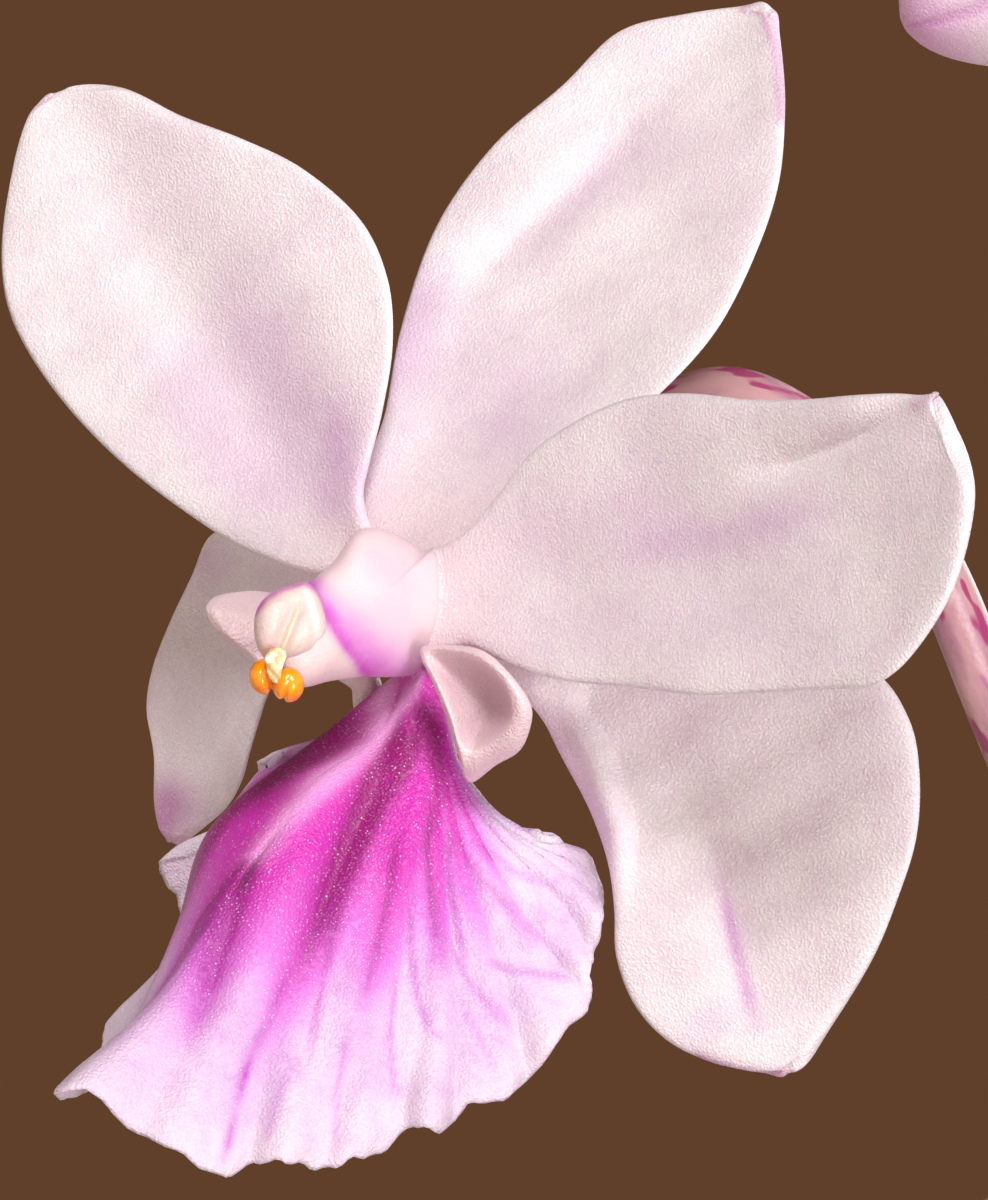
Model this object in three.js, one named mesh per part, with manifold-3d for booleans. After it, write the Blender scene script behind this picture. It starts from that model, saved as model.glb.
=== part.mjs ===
// A potted Holcoglossum orchid: clay pot, bark, roots, stem, two ranks of channelled leaves and one
// flower spike with four open flowers and three buds. Millimetres, +Z up, origin in the middle of the
// pot's underside. Seen from the front (along +Y) the best flower faces left and a little down.
import * as THREE from "three";
import { ParametricGeometry } from "three/addons/geometries/ParametricGeometry.js";
import { mergeVertices } from "three/addons/utils/BufferGeometryUtils.js";
import Module from "manifold-3d";

// Driving dimensions
const GAP = 0.3; // clearance between touching pieces
const SOCKET_CLEARANCE = 0.4; // round the stem and the roots where they stand in the bark
const BARK_WALL_CLEARANCE = 0.5; // between the bark and the pot's wall
const POT_HEIGHT = 92;
const POT_TOP_RADIUS = 52;
const POT_FOOT_RADIUS = 36;
const POT_WALL = 4.5;
const POT_FLOOR = 6;
const RIM_BAND_HEIGHT = 17;
const RIM_BAND_STEP = 3.5;
const DRAIN_RADIUS = 5;
const DRAIN_CIRCLE_RADIUS = 20;
const DRAIN_COUNT = 3;
const BARK_TOP = 79;
const STEM_RADIUS = 5;
const STEM_FOOT_Z = 70;
const STEM_TOP_Z = 136;
const LEAF_THICKNESS = 2.6;
const LEAF_CLEARANCE = 0.85; // from the stem's skin to the sharp foot of a leaf
const SPIKE_RADIUS = 1.7;
const PEDICEL_RADIUS = 0.95;
const STALK_CLEARANCE = 1.0; // from the spike's skin to the middle of a stalk's flat foot
const TEPAL_THICKNESS = 0.8;
const LIP_THICKNESS = 0.7;
const FLOWER_CENTRE = [2, 0, 262];
const FLOWER_TURN = THREE.MathUtils.degToRad(37); // how far the outlines below are turned in the spike
const VIEW_DISTANCE = 222; // the outlines are drawn as seen from this far in front of the flower
const VIEW_AXIS = [2.13, -0.33]; // where the line of sight meets the flower's plane

const wasm = await Module();
wasm.setup();

// Small helpers for points and smooth curves

const lerp = (a, b, t) => a + (b - a) * t;
const mixPoints = (p, q, t) => p.map((value, i) => lerp(value, q[i], t));
const vector = (p) => new THREE.Vector3(...p);

// The smooth curve through the rows of numbers in points, at t from 0 to 1 (Catmull-Rom).
function smooth(points, t) {
  const last = points.length - 1;
  const span = Math.min(Math.floor(t * last), last - 1);
  const s = t * last - span;
  const before = points[Math.max(span - 1, 0)];
  const from = points[span];
  const to = points[span + 1];
  const after = points[Math.min(span + 2, last)];
  return from.map((p, i) => {
    const leave = (to[i] - before[i]) / 2;
    const arrive = (after[i] - p) / 2;
    const h = s * s * (3 - 2 * s);
    return p + (to[i] - p) * h + s * (1 - s) * (leave * (1 - s) - arrive * s);
  });
}

// Solids from three.js surfaces

// Merges the shared vertices of a closed surface and drops the faces that have collapsed to a line.
function closed(geometry) {
  geometry.deleteAttribute("normal");
  geometry.deleteAttribute("uv");
  const merged = mergeVertices(geometry, 1e-3);
  const corners = merged.index.array;
  const kept = [];
  for (let i = 0; i < corners.length; i += 3) {
    const [a, b, c] = [corners[i], corners[i + 1], corners[i + 2]];
    if (a !== b && b !== c && c !== a) kept.push(a, b, c);
  }
  merged.setIndex(kept);
  return merged;
}

// A closed surface from a function of u (once round the section) and v (along the piece).
function closedSurface(point, around, along) {
  const sample = (u, v, target) => target.set(...point(u, v));
  return closed(new ParametricGeometry(sample, around, along));
}

function toSolid(geometry) {
  return new wasm.Manifold(
    new wasm.Mesh({
      numProp: 3,
      vertProperties: new Float32Array(geometry.getAttribute("position").array),
      triVerts: new Uint32Array(geometry.index.array),
    }),
  );
}

function fromSolid(solid) {
  const mesh = solid.getMesh();
  const position = new Float32Array(mesh.numVert * 3);
  for (let i = 0; i < mesh.numVert; i += 1) {
    position.set(mesh.vertProperties.subarray(i * mesh.numProp, i * mesh.numProp + 3), i * 3);
  }
  return new THREE.BufferGeometry()
    .setAttribute("position", new THREE.BufferAttribute(position, 3))
    .setIndex(new THREE.BufferAttribute(mesh.triVerts, 1));
}

// A thin blade on the surface middle(u, v), thickest at its midrib and sharp at its margins and ends.
function blade(middle, thickness, across, along) {
  const step = 1e-3;
  const section = (turn, v) => {
    const front = turn <= 0.5;
    const u = front ? turn * 2 : 2 - turn * 2;
    const here = vector(middle(u, v));
    const nearU = vector(middle(Math.min(u + step, 1), v)).sub(vector(middle(Math.max(u - step, 0), v)));
    const nearV = vector(middle(u, Math.min(v + step, 1))).sub(vector(middle(u, Math.max(v - step, 0))));
    const normal = nearU.cross(nearV).normalize();
    const endTaper = Math.min(1, v * along, (1 - v) * along);
    const half = (thickness / 2) * Math.sqrt(Math.max(0, 4 * u * (1 - u))) * endTaper;
    return here.addScaledVector(normal, front ? half : -half).toArray();
  };
  return closedSurface(section, across * 2, along);
}

// A round rod through points, each given as x, y, z and radius, with rounded ends.
function rod(points, sides, along) {
  const centre = (t) => vector(smooth(points, t).slice(0, 3));
  const rings = [];
  let side = new THREE.Vector3();
  for (let i = 0; i <= along; i += 1) {
    const t = i / along;
    const ahead = centre(Math.min(t + 1e-3, 1)).sub(centre(Math.max(t - 1e-3, 0))).normalize();
    if (i === 0) side.set(Math.abs(ahead.x) < 0.8 ? 1 : 0, Math.abs(ahead.x) < 0.8 ? 0 : 1, 0);
    side = side.clone().addScaledVector(ahead, -side.dot(ahead)).normalize();
    rings.push({ at: centre(t), side, other: ahead.clone().cross(side), radius: smooth(points, t)[3] });
  }
  const place = (u, v) => {
    const ring = rings[Math.min(Math.max(Math.round(v * (along + 2)) - 1, 0), along)];
    const radius = v === 0 || v === 1 ? 0 : ring.radius;
    const angle = u * 2 * Math.PI;
    return ring.at
      .clone()
      .addScaledVector(ring.side, Math.cos(angle) * radius)
      .addScaledVector(ring.other, Math.sin(angle) * radius)
      .toArray();
  };
  return closedSurface(place, sides, along + 2);
}

// Colours of the living and fired surfaces
const finish = (color, roughness) => ({ color, roughness, metalness: 0 });
const CLAY = finish(0xb0643f, 0.9);
const BARK = finish(0x4c2f1d, 0.95);
const ROOT = finish(0xb4b49c, 0.8);
const STEM = finish(0x6f8a45, 0.6);
const LEAF = finish(0x3f6e2c, 0.45);
const SPIKE = finish(0x74603f, 0.6);
const PEDICEL = finish(0xb98f96, 0.55);
const TEPAL = finish(0xe6d6dc, 0.5);
const LIP = finish(0xd04fbe, 0.5);
const COLUMN = finish(0xecc9d8, 0.5);
const CAP = finish(0xe6d0cb, 0.4);
const POLLEN = finish(0xf08c0c, 0.3);
const STIPE = finish(0xf0e4c4, 0.4);
const BUD = finish(0xd9b6c4, 0.5);

const plant = new THREE.Group();

function addPiece(parent, name, geometry, look) {
  const piece = new THREE.Mesh(geometry, new THREE.MeshStandardMaterial(look));
  piece.name = name;
  parent.add(piece);
  return piece;
}

// Pot: thrown and fired clay, a tapered bowl with a stepped rim band and three drain holes

function potOuterRadius(z) {
  return lerp(POT_FOOT_RADIUS, POT_TOP_RADIUS - RIM_BAND_STEP, z / POT_HEIGHT);
}

function potInnerRadius(z) {
  return potOuterRadius(z) - POT_WALL;
}

function makePot() {
  const bandFoot = POT_HEIGHT - RIM_BAND_HEIGHT;
  const profile = [
    [0, 0],
    [POT_FOOT_RADIUS - 1, 0],
    [potOuterRadius(1), 1],
    [potOuterRadius(bandFoot), bandFoot],
    [POT_TOP_RADIUS - 1, bandFoot + 1],
    [POT_TOP_RADIUS, POT_HEIGHT - 2],
    [POT_TOP_RADIUS - 2, POT_HEIGHT],
    [potInnerRadius(POT_HEIGHT) + 1.5, POT_HEIGHT],
    [potInnerRadius(POT_HEIGHT), POT_HEIGHT - 2],
    [potInnerRadius(POT_FLOOR + 4), POT_FLOOR + 4],
    [potInnerRadius(POT_FLOOR) - 4, POT_FLOOR],
    [0, POT_FLOOR],
  ].map(([r, z]) => new THREE.Vector2(r, z));
  const bowl = closed(new THREE.LatheGeometry(profile, 40));
  bowl.rotateX(Math.PI / 2);
  let pot = toSolid(bowl);
  for (let i = 0; i < DRAIN_COUNT; i += 1) {
    const angle = Math.PI / 2 + (i * 2 * Math.PI) / DRAIN_COUNT;
    const drill = closed(new THREE.CylinderGeometry(DRAIN_RADIUS, DRAIN_RADIUS, POT_FLOOR * 3, 14));
    drill.rotateX(Math.PI / 2);
    drill.translate(DRAIN_CIRCLE_RADIUS * Math.cos(angle), DRAIN_CIRCLE_RADIUS * Math.sin(angle), 0);
    pot = pot.subtract(toSolid(drill));
  }
  return fromSolid(pot);
}

addPiece(plant, "pot", makePot(), CLAY);

// Stem: short, upright, wrapped in old leaf sheaths

const STEM_LINE = [
  [0, 0, STEM_FOOT_Z, STEM_RADIUS * 0.75],
  [0, 0, STEM_FOOT_Z + 8, STEM_RADIUS],
  [0, 0, 110, STEM_RADIUS],
  [0, 0, STEM_TOP_Z - 3, STEM_RADIUS * 0.95],
  [0, 0, STEM_TOP_Z, STEM_RADIUS * 0.4],
];

// Roots: thick and grey-white, out of the stem's foot, over the bark and down into it or over the rim.
// Each row is x, y, z and radius, from the stem outwards.
const ROOT_RADIUS = 2.6;
const ROOT_LINES = [
  [[-4.9, -2.9, 88], [-14, -9, 90], [-24, -15, 85], [-30, -18, 77], [-32, -19, 67]],
  [[5.1, -2.5, 87], [16, -9, 88], [25, -16, 84], [29, -22, 77], [29, -23, 67]],
  [[-2.9, 4.9, 86], [-11, 18, 87], [-17, 28, 82], [-19, 31, 72]],
  [
    [4.4, 3.7, 89], [16, 12, 93], [31, 17, 91], [42, 21, 97],
    [53.5, 26, 97], [59, 29, 86], [60, 30, 66], [57, 29, 50],
  ],
  [[-5.8, 1.1, 91], [-20, 5, 96], [-34, 9, 98], [-47, 10, 99], [-58, 12, 95], [-62, 13, 80], [-60, 13, 62]],
];
const rootLine = (points) =>
  points.map((p, i) => [...p, ROOT_RADIUS * lerp(1, 0.72, i / (points.length - 1))]);

// Bark: the potting mix, one mass up to below the rim, with sockets where the stem and the roots go in

function makeBark() {
  const bottom = POT_FLOOR + GAP;
  const bump = (angle, r) =>
    1.6 * Math.sin(3 * angle + r * 0.21) + 1.3 * Math.cos(5 * angle - r * 0.33) + 2.5 * (1 - r / 45);
  const section = (u, v) => {
    const angle = u * 2 * Math.PI;
    const profile = [
      [0, bottom],
      [potInnerRadius(bottom) - 5, bottom],
      [potInnerRadius(bottom + 5) - 2 * BARK_WALL_CLEARANCE, bottom + 5],
      [potInnerRadius(BARK_TOP - 4) - BARK_WALL_CLEARANCE, BARK_TOP - 4],
      [30, BARK_TOP],
      [18, BARK_TOP],
      [0, BARK_TOP],
    ];
    const [r, z] = profile[Math.round(v * (profile.length - 1))];
    const lift = z === BARK_TOP ? bump(r ? angle : 0, r) : 0;
    return [r * Math.cos(angle), r * Math.sin(angle), z + lift];
  };
  let bark = toSolid(closedSurface(section, 28, 6));
  const widened = (points) => points.map(([x, y, z, r]) => [x, y, z, r + SOCKET_CLEARANCE]);
  bark = bark.subtract(toSolid(rod(widened(STEM_LINE), 12, 7)));
  for (const points of ROOT_LINES) {
    bark = bark.subtract(toSolid(rod(widened(rootLine(points)), 8, 9)));
  }
  return fromSolid(bark);
}

addPiece(plant, "bark", makeBark(), BARK);
addPiece(plant, "stem", rod(STEM_LINE, 12, 7), STEM);
ROOT_LINES.forEach((points, i) => {
  addPiece(plant, `root_${i + 1}`, rod(rootLine(points), 8, 9), ROOT);
});

// Leaves: narrow, thick, V-channelled, in two ranks, arching out and down.
// Each row is the foot's height, heading in degrees, length, rise, droop and width.
const LEAVES = [
  [96, 184, 140, 58, 84, 9],
  [100, -6, 160, 70, 92, 9.5],
  [107, 171, 180, 92, 96, 10],
  [111, 8, 185, 98, 92, 10],
  [118, 191, 165, 106, 62, 9.5],
  [122, -13, 150, 98, 50, 9.5],
  [129, 164, 105, 86, 22, 8.5],
  [132.5, 18, 78, 66, 10, 7.5],
];

// A leaf's middle: it runs out along its heading while it rises and then droops, and keeps most of its
// width up to the tip. Its two halves fold up, steeper at the foot, square to the way it runs.
function leafMiddle([footZ, heading, length, rise, droop, width]) {
  const angle = THREE.MathUtils.degToRad(heading);
  const startRadius = STEM_RADIUS + LEAF_CLEARANCE;
  return (u, v) => {
    const reach = startRadius + length * (0.86 * v + 0.14 * v * v);
    const height = footZ + rise * (2.2 * v - 1.2 * v * v) - droop * v ** 3;
    const halfWidth = (width / 2) * (0.72 + 0.5 * v - 1.12 * v ** 4);
    const side = (u - 0.5) * 2 * halfWidth;
    const fold = Math.abs(u - 0.5) * 2 * halfWidth * lerp(0.75, 0.5, v);
    const slope = (rise * (2.2 - 2.4 * v) - 3 * droop * v * v) / (length * (0.86 + 0.28 * v));
    const lean = fold / Math.hypot(1, slope);
    const along = reach - lean * slope;
    return [
      along * Math.cos(angle) - side * Math.sin(angle),
      along * Math.sin(angle) + side * Math.cos(angle),
      height + lean,
    ];
  };
}

LEAVES.forEach((leaf, i) => {
  const flipped = (u, v) => leafMiddle(leaf)(1 - u, v);
  addPiece(plant, `leaf_${i + 1}`, blade(flipped, LEAF_THICKNESS, 4, 12), LEAF);
});

// Flower spike: rises out of a leaf axil and leans to the right

const SPIKE_LINE = [
  [4.7, 4.9, 104],
  [8, 11.5, 122],
  [14, 14.5, 158],
  [22, 13, 200],
  [28.2, 11, 236],
  [32, 9.5, 262],
  [34.6, 9, 290],
  [36, 8, 316],
  [36.5, 7, 338],
].map((p, i, all) => [...p, lerp(SPIKE_RADIUS, SPIKE_RADIUS * 0.6, i / (all.length - 1))]);
addPiece(plant, "flower_spike", rod(SPIKE_LINE, 8, 20), SPIKE);

// The point on the spike's middle line at a height, with its radius.
function spikeAt(height) {
  let low = 0;
  let high = 1;
  for (let i = 0; i < 30; i += 1) {
    const middle = (low + high) / 2;
    if (smooth(SPIKE_LINE, middle)[2] < height) low = middle;
    else high = middle;
  }
  return smooth(SPIKE_LINE, low);
}

// The flower. Its outlines are drawn in the frame of a level look at it: x right, y up and z towards
// the eye, from the foot of the column.

// Puts an outline point, seen at x, y from the viewing distance, at its true place at depth z.
function fromView(x, y, z) {
  const nearness = (VIEW_DISTANCE - z) / VIEW_DISTANCE;
  return [
    VIEW_AXIS[0] + (x - VIEW_AXIS[0]) * nearness,
    VIEW_AXIS[1] + (y - VIEW_AXIS[1]) * nearness,
    z,
  ];
}

// Each tepal: stations from foot to tip, each left margin x, y and right margin x, y; how its plane
// leans (depth for each mm right and each mm up, and at the foot); how deep it is cupped.
const TEPALS = {
  dorsal_sepal: {
    stations: [
      [-2.2, 2.3, 2.2, 1.7],
      [-2.1, 4.0, 3.6, 3.2],
      [-1.5, 5.9, 5.4, 4.8],
      [-0.95, 8.8, 7.6, 6.5],
      [0.2, 12.1, 9.5, 8.6],
      [2.1, 14.8, 10.8, 11.1],
      [4.4, 16.8, 11.6, 13.5],
      [6.3, 18.6, 11.8, 15.9],
      [8.6, 19.2, 11.7, 17.7],
      [10.6, 19.45, 11.5, 18.9],
      [11.2, 19.35, 11.35, 19.2],
    ],
    lean: [0.81, -0.71],
    foot: -0.2,
    cup: -0.9,
  },
  left_petal: {
    stations: [
      [-1.9, 0.7, -0.7, 2.2],
      [-3.9, 0.6, -2.2, 3.0],
      [-6.2, 1.4, -2.1, 4.1],
      [-8.0, 2.5, -1.6, 6.0],
      [-10.1, 4.1, -1.25, 8.1],
      [-11.9, 5.9, -1.4, 10.3],
      [-13.3, 7.8, -2.3, 12.3],
      [-14.1, 9.6, -4.2, 14.0],
      [-14.25, 11.7, -6.2, 15.0],
      [-13.85, 14.2, -8.3, 15.8],
      [-13.3, 15.9, -10.2, 16.7],
      [-12.6, 16.5, -12.1, 16.7],
    ],
    lean: [0.82, -0.22],
    foot: 0,
    cup: -0.8,
  },
  right_petal: {
    stations: [
      [1.1, 1.6, 1.6, -0.4],
      [2.2, 3.1, 2.7, -2.4],
      [3.4, 4.6, 4.4, -3.0],
      [5.0, 5.7, 6.8, -3.25],
      [6.7, 6.4, 9.0, -3.5],
      [8.6, 6.55, 11.2, -3.4],
      [10.6, 6.35, 13.2, -3.3],
      [12.4, 6.35, 14.7, -3.2],
      [14.2, 6.5, 16.0, -2.2],
      [15.5, 6.55, 17.4, 0.1],
      [16.3, 6.5, 18.05, 3.0],
      [16.7, 6.55, 17.5, 4.8],
      [16.75, 6.6, 16.95, 6.3],
    ],
    lean: [1.13, -0.31],
    foot: 0.1,
    cup: -0.9,
  },
  left_lateral_sepal: {
    stations: [
      [-1.2, -2.1, -1.5, -0.1],
      [-2.6, -2.3, -3.6, 1.2],
      [-4.2, -2.4, -5.8, 2.0],
      [-5.0, -2.8, -7.2, 1.9],
      [-5.45, -3.5, -7.9, 0.5],
      [-5.75, -4.4, -8.6, -1.0],
      [-6.05, -5.4, -9.2, -2.6],
      [-6.3, -6.3, -9.4, -4.0],
      [-6.8, -7.2, -9.15, -5.5],
      [-7.6, -7.9, -9.1, -7.0],
      [-8.2, -8.3, -8.9, -7.9],
      [-8.5, -8.45, -8.7, -8.35],
    ],
    lean: [2.04, -0.18],
    foot: 0.3,
    cup: -0.5,
  },
  right_lateral_sepal: {
    stations: [
      [2.1, -1.2, 1.0, -2.7],
      [4.0, -1.0, 2.6, -3.2],
      [6.6, -0.9, 3.6, -4.1],
      [9.4, -1.1, 4.4, -5.6],
      [12.4, -1.7, 5.3, -7.3],
      [14.8, -2.7, 5.9, -9.0],
      [15.95, -4.3, 6.13, -10.6],
      [16.3, -6.1, 6.2, -12.2],
      [16.2, -8.2, 6.8, -13.8],
      [15.6, -10.2, 7.9, -15.0],
      [14.8, -12.1, 9.3, -15.7],
      [13.7, -14.0, 10.4, -15.95],
      [12.6, -15.5, 11.3, -16.1],
      [12.0, -15.95, 11.8, -16.1],
    ],
    lean: [0.55, 0.07],
    foot: -0.1,
    cup: -0.7,
  },
};

function tepalMiddle({ stations, lean, foot, cup }) {
  return (u, v) => {
    const [leftX, leftY, rightX, rightY] = smooth(stations, v);
    const x = lerp(leftX, rightX, u);
    const y = lerp(leftY, rightY, u);
    const hollow = cup * 4 * u * (1 - u) * Math.sin(Math.PI * v);
    return fromView(x, y, foot + lean[0] * x + lean[1] * y + hollow);
  };
}

// The lip's broad middle lobe: a fan of rays from the claw to the margin. The right half is drawn; the
// left half is its mirror image in the flower's own middle plane, set over to where it is seen.
const LIP_RAYS = [
  [[-0.63, -3.33], [-1.6, -5.0], [-3.93, -6.9], [-6.4, -10.0], [-8.6, -13.67], [-11.93, -17.03]],
  [[-0.47, -3.33], [-0.93, -5.33], [-2.67, -8.0], [-4.67, -12.0], [-6.0, -16.0], [-6.93, -19.6]],
  [[-0.33, -3.33], [-0.4, -5.67], [-1.27, -9.0], [-2.17, -12.67], [-2.83, -16.0], [-3.6, -19.2]],
  [[-0.2, -3.33], [0.0, -5.83], [0.0, -9.33], [0.0, -12.33], [-0.17, -15.33], [-0.47, -18.0]],
  [[-0.07, -3.33], [0.33, -5.83], [0.93, -9.0], [1.67, -12.0], [2.17, -14.67], [2.43, -17.07]],
  [[0.03, -3.33], [0.57, -5.83], [1.67, -8.67], [3.0, -11.0], [4.1, -12.73], [5.07, -14.2]],
  [[0.13, -3.33], [0.73, -5.83], [2.07, -8.0], [3.5, -9.5], [4.67, -10.73], [5.67, -11.83]],
  [[0.2, -3.33], [0.83, -5.83], [2.0, -7.5], [3.33, -8.4], [4.5, -8.87], [5.57, -9.27]],
  [[0.27, -3.33], [0.87, -5.73], [1.6, -7.0], [2.07, -7.6], [2.43, -7.93], [2.83, -8.1]],
  [[0.33, -3.33], [0.87, -5.5], [1.07, -6.27], [1.13, -6.67], [1.17, -6.93], [1.2, -7.13]],
];
const LIP_LEAN = [-0.114, -0.337];
const LIP_FOOT = -1.28;
const LIP_LEFT_SHIFT = [-1.6, -0.2];
// The unit direction across the flower, in the frame of the look.
const ACROSS = [0.67, -0.227, 0.707];

function lipNet() {
  const right = LIP_RAYS.map((ray, i) =>
    ray.map(([x, y]) => {
      const onKeel = -(x * ACROSS[0] + y * ACROSS[1]) / ACROSS[2];
      const onHalf = LIP_FOOT + LIP_LEAN[0] * x + LIP_LEAN[1] * y;
      return [x, y, i === 0 ? onKeel : onHalf];
    }),
  );
  const mirrored = (point, outwards) => {
    const offset = 2 * (point[0] * ACROSS[0] + point[1] * ACROSS[1] + point[2] * ACROSS[2]);
    const [x, y, z] = point.map((value, i) => value - offset * ACROSS[i]);
    return [x + LIP_LEFT_SHIFT[0] * outwards, y + LIP_LEFT_SHIFT[1] * outwards, z];
  };
  const left = right.slice(1).map((ray) =>
    ray.map((point, i) => mirrored(point, Math.sin((Math.PI * Math.min(i, 3)) / 5))),
  );
  return [...left.reverse(), ...right];
}

function lipMiddle() {
  const net = lipNet();
  return (u, v) => fromView(...smooth(net.map((ray) => smooth(ray, v)), u));
}

// A side lobe of the lip: an ear-shaped cup, its rim drawn clockwise, with its deepest point.
const EAR_RIM = [
  [0.07, -2.1, 2.0],
  [1.17, -1.9, 3.0],
  [2.33, -2.33, 4.2],
  [3.3, -3.33, 5.0],
  [3.37, -4.4, 5.2],
  [2.83, -5.57, 4.7],
  [2.0, -6.23, 3.7],
  [1.2, -6.7, 2.0],
  [1.07, -5.4, 2.0],
  [0.83, -4.4, 2.5],
  [0.53, -3.47, 2.5],
  [0.2, -2.6, 2.2],
];
const EAR_DEPTH_POINT = [1.95, -4.1, 1.4];
const EAR_WALL = 0.6;
const EAR_SAG = 0.54; // how far the cup's bottom lies behind the point above

// Half of the section runs over the cup's inside, from its bottom to its rim, and half back outside.
function earSurface(mirror) {
  const rim = [...EAR_RIM, EAR_RIM[0]];
  return (u, v) => {
    const turn = mirror ? 1 - u : u;
    const edge = smooth(rim, turn);
    const inside = v <= 0.5;
    const out = inside ? v * 2 : 2 - v * 2;
    const [x, y, z] = mixPoints(EAR_DEPTH_POINT, edge, Math.sqrt(out));
    const depth = z - EAR_SAG * (1 - out) - (inside ? 0 : EAR_WALL);
    if (!mirror) return fromView(x, y, depth);
    const offset = 2 * (x * ACROSS[0] + y * ACROSS[1] + depth * ACROSS[2]);
    return fromView(x - offset * ACROSS[0], y - offset * ACROSS[1], depth - offset * ACROSS[2]);
  };
}

function makeLip(fine) {
  const fan = blade(lipMiddle(), LIP_THICKNESS, fine ? 18 : 11, fine ? 7 : 4);
  const spur = rod(
    [
      [-0.4, -3.0, -0.6, 1.0],
      [-0.2, -4.2, -1.6, 1.15],
      [-0.1, -7.0, -3.2, 0.9],
      [-0.3, -10.0, -4.2, 0.45],
    ],
    fine ? 8 : 6,
    3,
  );
  const claw = (sign) => [
    [-0.5, -3.3, 0, 0.8],
    [sign > 0 ? 0.6 : -2.4, sign > 0 ? -4.2 : -3.6, sign > 0 ? 1.2 : -1.6, 0.75],
    [sign > 0 ? 1.4 : -4.4, sign > 0 ? -4.9 : -2.6, sign > 0 ? 1.9 : -3.2, 0.7],
  ];
  let lip = toSolid(fan).add(toSolid(spur));
  for (const mirror of [false, true]) {
    const ear = closedSurface(earSurface(mirror), fine ? 14 : 10, 6);
    lip = lip.add(toSolid(ear)).add(toSolid(rod(claw(mirror ? -1 : 1), fine ? 6 : 5, 2)));
  }
  return fromSolid(lip);
}

// Column: from its foot forwards and down, with the anther cap on its end
const COLUMN_LINE = [
  [-0.45, -0.35, 0.2, 1.6],
  [-1.0, -0.65, 0.8, 2.1],
  [-2.4, -0.8, 1.9, 2.1],
  [-3.4, -1.2, 2.8, 1.8],
  [-3.9, -1.35, 3.2, 1.6],
];
const CAP_LINE = [
  [-4.3, -1.45, 3.6, 1.45],
  [-4.9, -1.55, 4.15, 1.55],
  [-5.5, -1.6, 4.6, 1.05],
];
const POLLINIA = [
  [-5.5, -2.9, 5.1],
  [-4.6, -3.2, 5.5],
];
const STIPE_LINE = [
  [-4.95, -1.75, 5.95, 0.22],
  [-5.0, -2.25, 6.0, 0.3],
  [-5.05, -2.7, 5.95, 0.2],
];
const POLLINIUM_RADIUS = 0.52;

// Pedicel with its ovary: from behind the tepals over in an arch and down to the spike. The last
// number of each row is its radius as a share of PEDICEL_RADIUS.
const PEDICEL_LINE = [
  [0.5, -0.2, -0.5, 2.0],
  [1.1, -0.2, -1.5, 2.1],
  [2.0, 0.5, -3.2, 1.37],
  [3.9, 2.5, -6.2, 1.1],
  [6.6, 5.2, -10.0, 1.05],
  [10.0, 6.5, -13.0, 1.0],
  [13.2, 4.9, -14.5, 1.0],
  [16.2, 1.9, -14.0, 1.0],
  [18.1, -2.2, -12.5, 1.0],
  [20.1, -7.6, -11.2, 0.95],
  [21.2, -13.2, -10.0, 0.95],
  [20.8, -17.0, -9.2, 0.95],
].map(([x, y, z, share]) => [...fromView(x, y, z), PEDICEL_RADIUS * share]);

// Turns the frame of the look (x right, y up, z to the eye) upright into the plant's frame.
const LOOK_TO_PLANT = new THREE.Matrix4()
  .makeRotationX(Math.PI / 2)
  .multiply(new THREE.Matrix4().makeRotationZ(FLOWER_TURN));

function makeFlower(name, placement, fine) {
  const flower = new THREE.Group();
  flower.applyMatrix4(placement);
  const across = fine ? 6 : 4;
  const along = fine ? 9 : 6;
  for (const [tepal, shape] of Object.entries(TEPALS)) {
    addPiece(flower, `${name}_${tepal}`, blade(tepalMiddle(shape), TEPAL_THICKNESS, across, along), TEPAL);
  }
  addPiece(flower, `${name}_lip`, makeLip(fine), LIP);
  addPiece(flower, `${name}_pedicel`, rod(PEDICEL_LINE, 7, fine ? 16 : 12), PEDICEL);
  const column = fine ? COLUMN_LINE : [...COLUMN_LINE, CAP_LINE[2]];
  addPiece(flower, `${name}_column`, rod(column, 10, fine ? 6 : 5), COLUMN);
  if (fine) {
    addPiece(flower, `${name}_anther_cap`, rod(CAP_LINE, 10, 4), CAP);
    addPiece(flower, `${name}_stipe`, rod(STIPE_LINE, 8, 3), STIPE);
    POLLINIA.forEach((place, i) => {
      const ball = closed(new THREE.SphereGeometry(POLLINIUM_RADIUS, 10, 7));
      addPiece(flower, `${name}_pollinium_${i + 1}`, ball, POLLEN).position.set(...place);
    });
  }
  plant.add(flower);
}

// Placement of a flower or bud whose stalk's foot stands on the spike at a height, on its left side
// (side 1) or, as a mirror image, on its right (side -1), turned about the upright and scaled.
function onSpike(foot, height, side, turnDegrees, scale) {
  const [x, y, z, radius] = spikeAt(height);
  const move = new THREE.Matrix4().makeTranslation(x - side * (radius + STALK_CLEARANCE), y, z);
  const turn = new THREE.Matrix4().makeRotationZ(THREE.MathUtils.degToRad(turnDegrees));
  const size = new THREE.Matrix4().makeScale(side * scale, scale, scale);
  const back = new THREE.Matrix4().makeTranslation(...foot.map((value) => -value));
  return move.multiply(turn).multiply(size).multiply(LOOK_TO_PLANT).multiply(back);
}

const PEDICEL_FOOT = PEDICEL_LINE[PEDICEL_LINE.length - 1].slice(0, 3);
const mainPlacement = new THREE.Matrix4().makeTranslation(...FLOWER_CENTRE).multiply(LOOK_TO_PLANT);
makeFlower("flower_1", mainPlacement, true);
makeFlower("flower_2", onSpike(PEDICEL_FOOT, 284, -1, 6, 0.97), false);
makeFlower("flower_3", onSpike(PEDICEL_FOOT, 238, -1, -8, 1.02), false);
makeFlower("flower_4", onSpike(PEDICEL_FOOT, 214, 1, -6, 1.0), false);

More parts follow.
